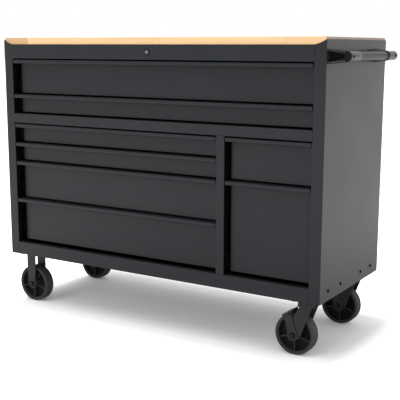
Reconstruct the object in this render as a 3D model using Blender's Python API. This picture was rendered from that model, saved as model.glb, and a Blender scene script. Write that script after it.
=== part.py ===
"""Rolling tool cabinet: a folded sheet steel body with a timber worktop, eight drawers on
full extension ball bearing slides, a side push handle, a key lock and four casters.

Metres, +Z up, X along the front from left to right, the front faces -Y. The origin is on the
floor, in the middle of the whole object's box."""

import math

import bmesh
import bpy
from mathutils import Matrix, Vector

# Body
CABINET_WIDTH = 1.168
CABINET_DEPTH = 0.453
SIDE_HEIGHT = 0.731
LIP_BELOW_SIDE = 0.014
SHEET = 0.0012
CLEAR = 0.0003
OVERRUN = 0.01
POST_WIDTH = 0.035
FRAME_RETURN = 0.018
REAR_FLANGE = 0.015
TOP_RAIL_HEIGHT = 0.046
MID_RAIL_HEIGHT = 0.031
DIVIDER_POST_WIDTH = 0.027
DIVIDER_WALL_INSET = 0.0023
LIP_HEM = 0.0036
DECK_DROP = 0.0056
CORNER_SAG = 0.002
CORNER_STEPS = 4

# Timber worktop
WORKTOP_THICKNESS = 0.026
WORKTOP_SIDE_GAP = 0.0012
WORKTOP_BEVEL = 0.0015

# Drawer bays, each row from the top down
LEFT_BAY_WIDTH = 0.795
REVEAL = 0.004
UPPER_FACE_HEIGHTS = (0.111, 0.060)
LEFT_FACE_HEIGHTS = (0.060, 0.060, 0.125, 0.1445)
RIGHT_TOP_FACE_HEIGHT = 0.123

# Drawer fronts
PANEL_DEPTH = 0.025
PULL_HEIGHT = 0.0125
PULL_LIP = 0.007
PULL_END_GAP = 0.003
PULL_RADIUS = 0.0022
PULL_REAR_LIP = 0.002
FACE_FOOT = 0.010
LEFT_WALL_INSET = 0.016
SIDE_INSET = 0.0102

# Drawer trays
TRAY_SHEET = 0.001
TRAY_FLOOR_RISE = 0.006
TRAY_TOP_DROP = 0.012
TRAY_HEM = 0.006
TRAY_SEAM = 0.0005

# Ball bearing slides: u runs from the cabinet member to the drawer, v runs up
SLIDE_REAR_ROOM = 0.0225
SLIDE_THICKNESS = 0.0127
SLIDE_HEIGHT = 0.045
SLIDE_SHEET = 0.0012
SLIDE_RISE = 0.032
SLIDE_END_SETBACK = 0.001
OUTER_FLANGE = 0.0105
OUTER_LIP = 0.0026
MIDDLE_OFFSET = 0.003
MIDDLE_FLANGE = 0.0112
MIDDLE_RACE_GAP = 0.0005
MIDDLE_LIP = 0.0018
INNER_RACE_GAP = 0.0004
INNER_FLANGE_START = 0.0055
WELD_OVERLAP = 0.0003

# Slide racks
UPRIGHT_WIDTH = 0.025
UPRIGHT_FRONT_SETBACK = 0.045
UPRIGHT_REAR_SETBACK = 0.070

# Key lock in the top rail
LOCK_FROM_LEFT = 0.586
LOCK_BARREL_RADIUS = 0.0080
LOCK_FLANGE_RADIUS = 0.0095
LOCK_FLANGE = 0.002
LOCK_BARREL_LENGTH = 0.0195
LOCK_CORE_RADIUS = 0.0060
LOCK_CORE_CLEAR = 0.0002
LOCK_CORE_SETBACK = 0.0004
CAM_LENGTH = 0.021
CAM_WIDTH = 0.011
CAM_THICKNESS = 0.002
CAM_SETBACK = 0.0003
KEYWAY_WIDTH = 0.0014
KEYWAY_HEIGHT = 0.0072
KEYWAY_DEPTH = 0.012
LOCK_SIDES = 24

# Push handle on the right side
HANDLE_DROP = 0.0455
HANDLE_OFFSET = 0.040
TUBE_RADIUS = 0.0125
SLEEVE_RADIUS = 0.0134
RING_WALL = 0.0015
RING_LENGTH = 0.010
CUP_FLOOR = 0.004
SLEEVE_LENGTH = 0.081
TUBE_END_CHAMFER = 0.003
TUBE_SIDES = 24
BRACKET_FROM_FRONT = 0.003
FRONT_BRACKET_LENGTH = 0.060
REAR_BRACKET_LENGTH = 0.095
BRACKET_OUTER_HEIGHT = 0.0392
BRACKET_INNER_HEIGHT = 0.029
FRONT_TIP_FROM_END = 0.037
REAR_TIP_FROM_END = 0.049
BRACKET_TIP_WIDTH = 0.008
HANDLE_SPAN = 0.384
TUBE_TAIL = 0.075
POCKET_DEPTH = 0.004
POCKET_RIM = 0.0055
POCKET_TIP_GAP = 0.019
POCKET_TIP_HEIGHT = 0.006

# Casters
CASTER_HEIGHT = 0.173
WHEEL_RADIUS = 0.0625
WHEEL_SIDES = 28
TREAD_WIDTH = 0.037
TREAD_SHOULDER = 0.0035
TREAD_CROWN = 0.0008
RIM_INNER_RADIUS = 0.051
RIM_RECESS = 0.0015
WEB_THICKNESS = 0.004
HUB_RADIUS = 0.018
HUB_WIDTH = 0.0468
HUB_SIDES = 16
RIB_COUNT = 5
RIB_WIDTH = 0.005
RIB_DEPTH = 0.030
AXLE_RADIUS = 0.005
AXLE_CLEAR = 0.0002
AXLE_HEAD_RADIUS = 0.0095
AXLE_HEAD = 0.006
FORK_SHEET = 0.0035
FORK_INSIDE = 0.0474
LEG_FOOT_RADIUS = 0.015
LEG_FOOT_STEPS = 6
RIGID_LEG_WIDTH = 0.037
RIGID_SHOULDER_DROP = 0.055
PLATE_THICKNESS = 0.004
PLATE_LENGTH = 0.100
PLATE_WIDTH = 0.096
PLATE_LAP = 0.0002
RACE_RADIUS = 0.024
RACE_HEIGHT = 0.0012
RACE_GAP = 0.0004
KINGPIN_RADIUS = 0.006
KINGPIN_NUT_RADIUS = 0.011
KINGPIN_NUT = 0.006
TRAIL = 0.0406
LEG_TOP_LEFT = 0.0165
LEG_TOP_RIGHT = 0.0190
LEG_HEEL = 0.017
LEG_HEEL_RADIUS = 0.0065
LEG_WAIST_DROP = 0.058
LEG_WAIST = 0.004
CROWN_OVERHANG = 0.0265
LEFT_CASTER_INSET = 0.064
RIGHT_CASTER_INSET = 0.052
CASTER_FROM_FRONT = 0.053
CASTER_FROM_BACK = 0.064

# Brake pedals on the swivel casters
ARM_SHEET = 0.0028
ARM_LEFT = 0.0155
ARM_RIGHT = 0.0045
ARM_FOOT_RADIUS = 0.0165
ARM_RISE = 0.050
PAD_TOP_REACH = -0.002
PAD_TOP_RISE = 0.0765
PAD_LOW_REACH = -0.019
PAD_LOW_RISE = 0.0635
PAD_SHEET = 0.0028
EAR_REACH = 0.0045
EAR_RISE = 0.0735
EAR_RADIUS = 0.0065
EAR_HOLE_RADIUS = 0.003

# Worked out from the values above
HALF_SHEET = SHEET / 2
HANDLE_REACH = HANDLE_OFFSET + SLEEVE_RADIUS + CLEAR + RING_WALL
LOCK_PROUD = LOCK_FLANGE + CLEAR
LEFT = -(CABINET_WIDTH + HANDLE_REACH) / 2
RIGHT = LEFT + CABINET_WIDTH
FRONT = -(CABINET_DEPTH - LOCK_PROUD) / 2
BACK = FRONT + CABINET_DEPTH
BOTTOM = CASTER_HEIGHT
SIDE_TOP = BOTTOM + SIDE_HEIGHT
LIP_TOP = SIDE_TOP - LIP_BELOW_SIDE
UPPER_TOP = LIP_TOP - TOP_RAIL_HEIGHT
UPPER_BOTTOM = UPPER_TOP - sum(UPPER_FACE_HEIGHTS) - REVEAL * (len(UPPER_FACE_HEIGHTS) + 1)
LOWER_TOP = UPPER_BOTTOM - MID_RAIL_HEIGHT
LOWER_BOTTOM = LOWER_TOP - sum(LEFT_FACE_HEIGHTS) - REVEAL * (len(LEFT_FACE_HEIGHTS) + 1)
DECK_TOP = LIP_TOP - DECK_DROP
INNER_BACK = BACK - 2 * SHEET - 2 * CLEAR
OPENING_LEFT = LEFT + POST_WIDTH
OPENING_RIGHT = RIGHT - POST_WIDTH
DIVIDER_LEFT = OPENING_LEFT + LEFT_BAY_WIDTH
DIVIDER_RIGHT = DIVIDER_LEFT + DIVIDER_POST_WIDTH
TRAY_FRONT = FRONT + PANEL_DEPTH + SHEET + CLEAR
SLIDE_FRONT = TRAY_FRONT + SLIDE_END_SETBACK
SLIDE_LENGTH = INNER_BACK - SLIDE_REAR_ROOM - SLIDE_FRONT
RING_RADIUS = SLEEVE_RADIUS + CLEAR + RING_WALL
HANDLE_X = RIGHT + HANDLE_OFFSET
HANDLE_Z = SIDE_TOP - HANDLE_DROP
AXLE_Z = WHEEL_RADIUS * math.cos(math.pi / WHEEL_SIDES)
FORK_HALF = FORK_INSIDE / 2
PLATE_BOTTOM = BOTTOM - CLEAR - PLATE_THICKNESS
CROWN_TOP = PLATE_BOTTOM - RACE_GAP - RACE_HEIGHT
TRAIL_SIDE = -1


def clear_scene():
    for thing in list(bpy.data.objects):
        bpy.data.objects.remove(thing, do_unlink=True)


def finish(name, colour, roughness, metallic):
    """A painted or bare surface as one Principled material."""
    made = bpy.data.materials.new(name)
    made.use_nodes = True
    shader = made.node_tree.nodes["Principled BSDF"]
    shader.inputs["Base Color"].default_value = (*colour, 1)
    shader.inputs["Roughness"].default_value = roughness
    shader.inputs["Metallic"].default_value = metallic
    return made


def make_finishes():
    return {
        "front": finish("front_powder_coat", (0.042, 0.044, 0.047), 0.45, 0.0),
        "side": finish("side_powder_coat", (0.165, 0.17, 0.18), 0.35, 0.0),
        "timber": finish("timber", (0.93, 0.62, 0.32), 0.5, 0.0),
        "zinc": finish("zinc_plate", (0.55, 0.56, 0.57), 0.35, 0.9),
        "tube": finish("handle_tube", (0.3, 0.3, 0.3), 0.35, 0.6),
        "moulding": finish("black_moulding", (0.02, 0.02, 0.021), 0.5, 0.0),
        "fork": finish("fork_paint", (0.035, 0.035, 0.04), 0.4, 0.2),
        "wheel": finish("wheel_moulding", (0.04, 0.04, 0.045), 0.55, 0.0),
        "chrome": finish("lock_chrome", (0.6, 0.6, 0.6), 0.25, 1.0),
    }


def to_object(name, mesh_data, material):
    """Links a bmesh as one named object with its faces pointing out."""
    bmesh.ops.recalc_face_normals(mesh_data, faces=mesh_data.faces)
    mesh = bpy.data.meshes.new(name)
    mesh_data.to_mesh(mesh)
    mesh_data.free()
    mesh.materials.append(material)
    made = bpy.data.objects.new(name, mesh)
    bpy.context.scene.collection.objects.link(made)
    return made


def prism(outline, axis, low, high):
    """A closed outline carried along one axis. The outline holds the two other coordinates."""
    place = {
        "X": lambda a, b, run: (run, a, b),
        "Y": lambda a, b, run: (a, run, b),
        "Z": lambda a, b, run: (a, b, run),
    }[axis]
    shape = bmesh.new()
    ends = [[shape.verts.new(place(a, b, run)) for a, b in outline] for run in (low, high)]
    for end in ends:
        shape.faces.new(end)
    count = len(outline)
    for index in range(count):
        after = (index + 1) % count
        shape.faces.new((ends[0][index], ends[0][after], ends[1][after], ends[1][index]))
    return shape


def box(low, high):
    x0, y0, z0 = low
    x1, y1, z1 = high
    return prism([(x0, y0), (x1, y0), (x1, y1), (x0, y1)], "Z", z0, z1)


def loft(first, second):
    """A closed solid between two outlines with the same number of points."""
    shape = bmesh.new()
    rings = [[shape.verts.new(point) for point in ring] for ring in (first, second)]
    for ring in rings:
        shape.faces.new(ring)
    count = len(first)
    for index in range(count):
        after = (index + 1) % count
        shape.faces.new((rings[0][index], rings[0][after], rings[1][after], rings[1][index]))
    return shape


def circle(radius, sides, turn_share=0.5):
    """Points of a circle. A turn share of a half puts a flat at the bottom."""
    step = 2 * math.pi / sides
    return [
        (radius * math.cos(step * (index + turn_share)), radius * math.sin(step * (index + turn_share)))
        for index in range(sides)
    ]


def rod(centre, radius, low, high, axis, sides):
    """A round bar along one axis, with its middle at centre in the two other coordinates."""
    outline = [(centre[0] + a, centre[1] + b) for a, b in circle(radius, sides)]
    return prism(outline, axis, low, high)


def lathe(profile, centre, sides):
    """A closed profile of radius and run, turned about an axis along Y through centre (x, z)."""
    shape = bmesh.new()
    rings = []
    for a, b in circle(1.0, sides):
        ring = [shape.verts.new((centre[0] + a * r, run, centre[1] + b * r)) for r, run in profile]
        rings.append(ring)
    count = len(profile)
    for index, ring in enumerate(rings):
        beside = rings[(index + 1) % sides]
        for point in range(count):
            after = (point + 1) % count
            shape.faces.new((ring[point], ring[after], beside[after], beside[point]))
    return shape


def rounded(path, radius, steps=3):
    """The path with each inner corner replaced by an arc."""
    points = [Vector(point) for point in path]
    made = [points[0]]
    for before, corner, after in zip(points, points[1:], points[2:]):
        back, ahead = (before - corner).normalized(), (after - corner).normalized()
        half = back.angle(ahead) / 2
        reach = radius / math.tan(half)
        centre = corner + (back + ahead).normalized() * (radius / math.sin(half))
        start = corner + back * reach - centre
        end = corner + ahead * reach - centre
        sweep = math.atan2(start.x * end.y - start.y * end.x, start.dot(end))
        for step in range(steps + 1):
            made.append(centre + Matrix.Rotation(sweep * step / steps, 2) @ start)
    return [tuple(point) for point in made + [points[-1]]]


def strip_outline(path, thickness):
    """The closed outline of a sheet of one thickness that is folded along the path."""
    points = [Vector(point) for point in path]
    sides = ([], [])
    for index, point in enumerate(points):
        runs = []
        if index:
            runs.append((point - points[index - 1]).normalized())
        if index < len(points) - 1:
            runs.append((points[index + 1] - point).normalized())
        normals = [Vector((-run.y, run.x)) for run in runs]
        middle = sum(normals, Vector((0, 0))).normalized()
        offset = middle * (thickness / 2 / middle.dot(normals[0]))
        sides[0].append(tuple(point + offset))
        sides[1].append(tuple(point - offset))
    return sides[0] + sides[1][::-1]


def folded(path, thickness, axis, low, high):
    return prism(strip_outline(path, thickness), axis, low, high)


def combined(name, material, base, others, operation="UNION"):
    """Joins solids to the base, or cuts them from it, with exact Booleans."""
    made = to_object(name, base, material) if isinstance(base, bmesh.types.BMesh) else base
    for number, other in enumerate(others):
        helper = to_object(f"{name}_helper_{number}", other, material)
        step = made.modifiers.new("step", "BOOLEAN")
        step.operation = operation
        step.solver = "EXACT"
        step.object = helper
        bpy.context.view_layer.update()
        graph = bpy.context.evaluated_depsgraph_get()
        result = bpy.data.meshes.new_from_object(made.evaluated_get(graph))
        made.modifiers.clear()
        old = made.data
        made.data = result
        bpy.data.meshes.remove(old)
        spare = helper.data
        bpy.data.objects.remove(helper, do_unlink=True)
        bpy.data.meshes.remove(spare)
        result.name = name
    return made


def shade(made, degrees=35.0):
    made.data.shade_smooth()
    made.data.set_sharp_from_angle(angle=math.radians(degrees))
    return made


def set_origin(made, origin):
    """Puts the object's origin on its joint's axis and leaves its shape where it is."""
    made.data.transform(Matrix.Translation(-Vector(origin)))
    made.location = origin
    return made


# Body panels


def corner_slope():
    """The sloped top of a post from the side wall down to the front lip, sagging a little."""
    points = []
    for step in range(CORNER_STEPS + 1):
        share = step / CORNER_STEPS
        across = SHEET + (POST_WIDTH - SHEET) * share
        up = SIDE_TOP + (LIP_TOP - SIDE_TOP) * share - CORNER_SAG * math.sin(math.pi * share)
        points.append((across, up))
    return points


def side_panel(name, wall, inward, material):
    """One folded sheet: rear flange, side wall, post face and post return."""
    path = [
        (REAR_FLANGE, BACK - HALF_SHEET),
        (HALF_SHEET, BACK - HALF_SHEET),
        (HALF_SHEET, FRONT + HALF_SHEET),
        (POST_WIDTH - HALF_SHEET, FRONT + HALF_SHEET),
        (POST_WIDTH - HALF_SHEET, FRONT + FRAME_RETURN),
    ]
    sheet = folded([(wall + inward * a, b) for a, b in path], SHEET, "Z", BOTTOM, SIDE_TOP)
    over_x = wall + inward * (POST_WIDTH + OVERRUN)
    slope = [(wall + inward * a, b) for a, b in corner_slope()]
    slope += [(over_x, LIP_TOP), (over_x, SIDE_TOP + OVERRUN), (slope[0][0], SIDE_TOP + OVERRUN)]
    behind = FRONT + FRAME_RETURN + OVERRUN
    slope_cut = prism(slope, "Y", FRONT - OVERRUN, behind)
    inner_x = wall + inward * 2 * SHEET
    return_cut = box(
        (min(inner_x, over_x), FRONT + 2 * SHEET, DECK_TOP - SHEET - CLEAR),
        (max(inner_x, over_x), behind, SIDE_TOP + OVERRUN),
    )
    return combined(name, material, sheet, [slope_cut, return_cut], "DIFFERENCE")


def post_notches():
    """The two front corners that the posts fill, cut from the deck and the base pan."""
    spans = (
        (LEFT - OVERRUN, OPENING_LEFT + CLEAR),
        (OPENING_RIGHT - CLEAR, RIGHT + OVERRUN),
    )
    return [
        box(
            (low, FRONT - OVERRUN, BOTTOM - OVERRUN),
            (high, FRONT + FRAME_RETURN + CLEAR, SIDE_TOP + OVERRUN),
        )
        for low, high in spans
    ]


def lock_centre():
    return LEFT + LOCK_FROM_LEFT, (LIP_TOP + UPPER_TOP) / 2


def top_deck(material):
    """Top rail, hemmed lip and the deck under the worktop, folded from one sheet."""
    lip = LIP_TOP - HALF_SHEET
    deck = DECK_TOP - HALF_SHEET
    path = [
        (FRONT + FRAME_RETURN, UPPER_TOP + HALF_SHEET),
        (FRONT + HALF_SHEET, UPPER_TOP + HALF_SHEET),
        (FRONT + HALF_SHEET, lip),
        (FRONT + LIP_HEM, lip),
        (FRONT + LIP_HEM, deck),
        (INNER_BACK, deck),
    ]
    sheet = folded(path, SHEET, "X", LEFT + SHEET + CLEAR, RIGHT - SHEET - CLEAR)
    x, z = lock_centre()
    bore = rod(
        (x, z), LOCK_BARREL_RADIUS + CLEAR, FRONT - OVERRUN, FRONT + 2 * SHEET, "Y", LOCK_SIDES
    )
    return combined("top_deck", material, sheet, post_notches() + [bore], "DIFFERENCE")


def mid_rail(material):
    rear = FRONT + FRAME_RETURN
    face = FRONT + HALF_SHEET
    low, high = LOWER_TOP + HALF_SHEET, UPPER_BOTTOM - HALF_SHEET
    path = [(rear, low), (face, low), (face, high), (rear, high)]
    return to_object(
        "mid_rail",
        folded(path, SHEET, "X", OPENING_LEFT + CLEAR, OPENING_RIGHT - CLEAR),
        material,
    )


def base_pan(material):
    """Bottom rail, floor and rear upstand, folded from one sheet."""
    floor = BOTTOM + HALF_SHEET
    path = [
        (FRONT + FRAME_RETURN, LOWER_BOTTOM - HALF_SHEET),
        (FRONT + HALF_SHEET, LOWER_BOTTOM - HALF_SHEET),
        (FRONT + HALF_SHEET, floor),
        (INNER_BACK - HALF_SHEET, floor),
        (INNER_BACK - HALF_SHEET, BOTTOM + REAR_FLANGE),
    ]
    sheet = folded(path, SHEET, "X", LEFT + SHEET + CLEAR, RIGHT - SHEET - CLEAR)
    return combined("base_pan", material, sheet, post_notches(), "DIFFERENCE")


def back_panel(material):
    low = (LEFT + SHEET + CLEAR, BACK - 2 * SHEET - CLEAR, BOTTOM)
    high = (RIGHT - SHEET - CLEAR, BACK - SHEET - CLEAR, SIDE_TOP)
    return to_object("back_panel", box(low, high), material)


def centre_divider(left_drawers, right_drawers, material):
    """A double skinned partition behind a flush post face, with the slide members riveted on."""
    fold = FRONT + FRAME_RETURN - HALF_SHEET
    left_wall = DIVIDER_LEFT + DIVIDER_WALL_INSET + HALF_SHEET
    right_wall = DIVIDER_RIGHT - DIVIDER_WALL_INSET - HALF_SHEET
    rear = INNER_BACK - SHEET - CLEAR
    path = [
        (left_wall, rear),
        (left_wall, fold),
        (DIVIDER_LEFT + HALF_SHEET, fold),
        (DIVIDER_LEFT + HALF_SHEET, FRONT + HALF_SHEET),
        (DIVIDER_RIGHT - HALF_SHEET, FRONT + HALF_SHEET),
        (DIVIDER_RIGHT - HALF_SHEET, fold),
        (right_wall, fold),
        (right_wall, rear),
    ]
    sheet = folded(path, SHEET, "Z", BOTTOM + SHEET + CLEAR, LOWER_TOP - CLEAR)
    rail_notch = box(
        (DIVIDER_LEFT - OVERRUN, FRONT - OVERRUN, BOTTOM - OVERRUN),
        (DIVIDER_RIGHT + OVERRUN, FRONT + FRAME_RETURN + CLEAR, LOWER_BOTTOM + CLEAR),
    )
    made = combined("centre_divider", material, sheet, [rail_notch], "DIFFERENCE")
    members = outer_members(left_drawers, "r") + outer_members(right_drawers, "l")
    return combined("centre_divider", material, made, members)


def worktop(material):
    """The timber slab, dropped in behind the lip and between the side walls."""
    low = (
        LEFT + SHEET + WORKTOP_SIDE_GAP,
        FRONT + LIP_HEM + HALF_SHEET + CLEAR,
        DECK_TOP + CLEAR,
    )
    high = (
        RIGHT - SHEET - WORKTOP_SIDE_GAP,
        BACK - 2 * SHEET - CLEAR - WORKTOP_SIDE_GAP,
        DECK_TOP + CLEAR + WORKTOP_THICKNESS,
    )
    made = to_object("worktop", box(low, high), material)
    edge = made.modifiers.new("edge", "BEVEL")
    edge.width = WORKTOP_BEVEL
    edge.segments = 1
    return made


# Drawers and slides


def bay(name, left, right, top, heights, left_inset):
    """The drawers of one bay from the top down, each with its opening and its face."""
    rows = []
    level = top - REVEAL
    for number, height in enumerate(heights, 1):
        rows.append(
            {
                "name": f"{name}_{number}",
                "left": left,
                "right": right,
                "top": level,
                "bottom": level - height,
                "tray_left": left + left_inset,
                "tray_right": right - SIDE_INSET,
                "slide_z": level - height + SLIDE_RISE,
            }
        )
        level -= height + REVEAL
    return rows


def all_drawers():
    lower_height = LOWER_TOP - LOWER_BOTTOM
    right_bottom = lower_height - RIGHT_TOP_FACE_HEIGHT - 3 * REVEAL
    right_heights = (RIGHT_TOP_FACE_HEIGHT, right_bottom)
    return {
        "upper": bay(
            "drawer_wide", OPENING_LEFT, OPENING_RIGHT, UPPER_TOP, UPPER_FACE_HEIGHTS, LEFT_WALL_INSET
        ),
        "left": bay(
            "drawer_left", OPENING_LEFT, DIVIDER_LEFT, LOWER_TOP, LEFT_FACE_HEIGHTS, LEFT_WALL_INSET
        ),
        "right": bay(
            "drawer_right", DIVIDER_RIGHT, OPENING_RIGHT, LOWER_TOP, right_heights, SIDE_INSET
        ),
    }


def drawer_front(drawer, material):
    """A full width pull folded from the top of a recessed panel that stands in from its ends."""
    top, bottom = drawer["top"] - HALF_SHEET, drawer["bottom"] + HALF_SHEET
    face = FRONT + HALF_SHEET
    panel = FRONT + PANEL_DEPTH + HALF_SHEET
    pull_path = [
        (FRONT + PULL_LIP, drawer["top"] - PULL_HEIGHT + HALF_SHEET),
        (face, drawer["top"] - PULL_HEIGHT + HALF_SHEET),
        (face, top),
        (FRONT + PANEL_DEPTH + SHEET + PULL_REAR_LIP, top),
    ]
    pull = folded(
        rounded(pull_path, PULL_RADIUS),
        SHEET,
        "X",
        drawer["left"] + PULL_END_GAP,
        drawer["right"] - PULL_END_GAP,
    )
    panel_path = [(panel + FACE_FOOT, bottom), (panel, bottom), (panel, top)]
    plate = folded(panel_path, SHEET, "X", drawer["tray_left"], drawer["tray_right"])
    return shade(combined(drawer["name"] + "_front", material, pull, [plate]))


def channel(path, side, web_x, centre_z, low, high):
    """One slide member: a folded path in u and v, carried along the slide."""
    placed = [(web_x + side * u, centre_z + v) for u, v in path]
    return folded(placed, SLIDE_SHEET, "Y", low, high)


def outer_path():
    half = (SLIDE_HEIGHT - SLIDE_SHEET) / 2
    web, reach = SLIDE_SHEET / 2, OUTER_FLANGE - SLIDE_SHEET / 2
    return [
        (reach, -half + OUTER_LIP),
        (reach, -half),
        (web, -half),
        (web, half),
        (reach, half),
        (reach, half - OUTER_LIP),
    ]


def middle_half():
    return SLIDE_HEIGHT / 2 - SLIDE_SHEET / 2 - OUTER_LIP - MIDDLE_RACE_GAP - SLIDE_SHEET / 2


def middle_path():
    half = middle_half()
    web, reach = MIDDLE_OFFSET + SLIDE_SHEET / 2, MIDDLE_FLANGE - SLIDE_SHEET / 2
    return [
        (reach, -half + MIDDLE_LIP),
        (reach, -half),
        (web, -half),
        (web, half),
        (reach, half),
        (reach, half - MIDDLE_LIP),
    ]


def inner_path():
    half = middle_half() - MIDDLE_LIP - INNER_RACE_GAP - SLIDE_SHEET / 2
    web = SLIDE_THICKNESS - SLIDE_SHEET / 2
    return [(INNER_FLANGE_START, -half), (web, -half), (web, half), (INNER_FLANGE_START, half)]


def slide_sides(drawer):
    """The two slides of a drawer, as the way to the drawer and the place of the outer web."""
    return (
        ("l", 1, drawer["tray_left"] - SLIDE_THICKNESS),
        ("r", -1, drawer["tray_right"] + SLIDE_THICKNESS),
    )


def drawer_tray(drawer, material):
    """An open tray with hemmed walls, and the slide members that are riveted to its sides."""
    half = TRAY_SHEET / 2
    left = drawer["tray_left"] - WELD_OVERLAP + half
    right = drawer["tray_right"] + WELD_OVERLAP - half
    low = drawer["bottom"] + TRAY_FLOOR_RISE + half
    high = drawer["top"] - TRAY_TOP_DROP - half
    rear = TRAY_FRONT + SLIDE_LENGTH
    path = [
        (left + TRAY_HEM, high),
        (left, high),
        (left, low),
        (right, low),
        (right, high),
        (right - TRAY_HEM, high),
    ]
    tray = folded(path, TRAY_SHEET, "Y", TRAY_FRONT, rear)
    ends = []
    for near in (TRAY_FRONT + TRAY_SEAM, rear - TRAY_SEAM - TRAY_SHEET):
        ends.append(box((left, near, low), (right, near + TRAY_SHEET, high)))
    stop = SLIDE_FRONT + SLIDE_LENGTH - 2 * SLIDE_END_SETBACK
    members = [
        channel(inner_path(), side, web, drawer["slide_z"], SLIDE_FRONT, stop)
        for _, side, web in slide_sides(drawer)
    ]
    return combined(drawer["name"] + "_tray", material, tray, ends + members)


def slide_members(drawer, material):
    """The two floating middle members between the cabinet and the tray."""
    rear = SLIDE_FRONT + SLIDE_LENGTH - 2 * SLIDE_END_SETBACK
    return [
        to_object(
            f"{drawer['name']}_slide_{hand}",
            channel(middle_path(), side, web, drawer["slide_z"], SLIDE_FRONT, rear),
            material,
        )
        for hand, side, web in slide_sides(drawer)
    ]


def outer_members(drawers, hand):
    """The cabinet side members of the slides on one side of these drawers."""
    members = []
    for drawer in drawers:
        side, web = next((side, web) for h, side, web in slide_sides(drawer) if h == hand)
        path = outer_path()
        members.append(
            channel(path, side, web, drawer["slide_z"], SLIDE_FRONT, SLIDE_FRONT + SLIDE_LENGTH)
        )
    return members


def rack(name, drawers, hand, wall, material):
    """Outer slide members joined by two folded uprights that reach back to the side wall."""
    side, web = next((side, web) for h, side, web in slide_sides(drawers[0]) if h == hand)
    rear = SLIDE_FRONT + SLIDE_LENGTH
    high = max(d["slide_z"] for d in drawers) + SLIDE_HEIGHT / 2
    low = min(d["slide_z"] for d in drawers) - SLIDE_HEIGHT / 2
    face = web - side * (HALF_SHEET - WELD_OVERLAP)
    foot = wall + side * (HALF_SHEET + CLEAR)
    uprights = []
    for near in (SLIDE_FRONT + UPRIGHT_FRONT_SETBACK, rear - UPRIGHT_REAR_SETBACK):
        far = near + UPRIGHT_WIDTH
        path = [(face, far), (face, near), (foot, near), (foot, far)]
        uprights.append(folded(path, SHEET, "Z", low, high))
    members = outer_members(drawers, hand)
    return combined(name, material, members[0], uprights + members[1:])


# Key lock


def lock_housing(material):
    x, z = lock_centre()
    bore = LOCK_CORE_RADIUS + LOCK_CORE_CLEAR
    face = FRONT - CLEAR
    profile = [
        (bore, face - LOCK_FLANGE),
        (LOCK_FLANGE_RADIUS, face - LOCK_FLANGE),
        (LOCK_FLANGE_RADIUS, face),
        (LOCK_BARREL_RADIUS, face),
        (LOCK_BARREL_RADIUS, face + LOCK_BARREL_LENGTH),
        (bore, face + LOCK_BARREL_LENGTH),
    ]
    return shade(to_object("lock_housing", lathe(profile, (x, z), LOCK_SIDES), material))


def lock_core(material):
    """The plug that the key turns, with its keyway and the cam on its rear end."""
    x, z = lock_centre()
    nose = FRONT - LOCK_PROUD + LOCK_CORE_SETBACK
    tail = FRONT + LOCK_BARREL_LENGTH + CLEAR
    plug = rod((x, z), LOCK_CORE_RADIUS, nose, tail + CAM_THICKNESS, "Y", LOCK_SIDES)
    half = CAM_WIDTH / 2
    cam = prism(
        [(x - half, z - half), (x + CAM_LENGTH, z - half), (x + CAM_LENGTH, z + half), (x - half, z + half)],
        "Y",
        tail,
        tail + CAM_THICKNESS - CAM_SETBACK,
    )
    made = combined("lock_core", material, plug, [cam])
    slot = box(
        (x - KEYWAY_WIDTH / 2, nose - OVERRUN, z - KEYWAY_HEIGHT / 2),
        (x + KEYWAY_WIDTH / 2, nose + KEYWAY_DEPTH, z + KEYWAY_HEIGHT / 2),
    )
    made = shade(combined("lock_core", material, made, [slot], "DIFFERENCE"))
    return set_origin(made, (x, nose, z))


# Push handle


def bracket_body(outer_y, inward, length, tip_y):
    """A wedge from its footprint on the side wall to its tip, as a loft of two outlines."""
    inner_y = outer_y + inward * length
    half_tip = inward * BRACKET_TIP_WIDTH / 2
    outer_half, inner_half = BRACKET_OUTER_HEIGHT / 2, BRACKET_INNER_HEIGHT / 2
    foot = (
        (outer_y, -outer_half),
        (inner_y, -inner_half),
        (inner_y, inner_half),
        (outer_y, outer_half),
    )
    tip = (
        (tip_y - half_tip, -SLEEVE_RADIUS),
        (tip_y + half_tip, -SLEEVE_RADIUS),
        (tip_y + half_tip, SLEEVE_RADIUS),
        (tip_y - half_tip, SLEEVE_RADIUS),
    )
    return loft(
        [(RIGHT + CLEAR, y, HANDLE_Z + z) for y, z in foot],
        [(HANDLE_X, y, HANDLE_Z + z) for y, z in tip],
    )


def bracket_pocket(outer_y, inward, tip_y):
    """The three sided recess in the outer face, framed by the bracket's rims."""
    start = Vector((RIGHT + CLEAR, outer_y))
    run = Vector((HANDLE_X, tip_y - inward * BRACKET_TIP_WIDTH / 2)) - start
    along = run.normalized()
    out = Vector((along.y, -along.x)) * inward
    near, far = POCKET_RIM, run.length - POCKET_TIP_GAP
    wide, narrow = BRACKET_OUTER_HEIGHT / 2 - POCKET_RIM, POCKET_TIP_HEIGHT / 2
    rings = []
    for level in (-POCKET_DEPTH, OVERRUN):
        ring = []
        for distance, half in ((near, -wide), (far, -narrow), (far, narrow), (near, wide)):
            spot = start + along * distance + out * level
            ring.append((spot.x, spot.y, HANDLE_Z + half))
        rings.append(ring)
    return loft(*rings)


def handle_bracket(name, outer_y, inward, length, tip_y, blind, material):
    """A cast bracket with a ring for the tube. The front one is a blind cup."""
    centre = (HANDLE_X, HANDLE_Z)
    low, high = tip_y - RING_LENGTH / 2, tip_y + RING_LENGTH / 2
    ring = rod(centre, RING_RADIUS, low, high, "Y", TUBE_SIDES)
    made = combined(name, material, bracket_body(outer_y, inward, length, tip_y), [ring])
    bore_low = low + CUP_FLOOR if blind else low - length
    bore = rod(centre, SLEEVE_RADIUS + CLEAR, bore_low, high + length, "Y", TUBE_SIDES)
    pocket = bracket_pocket(outer_y, inward, tip_y)
    return shade(combined(name, material, made, [bore, pocket], "DIFFERENCE"))


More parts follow.
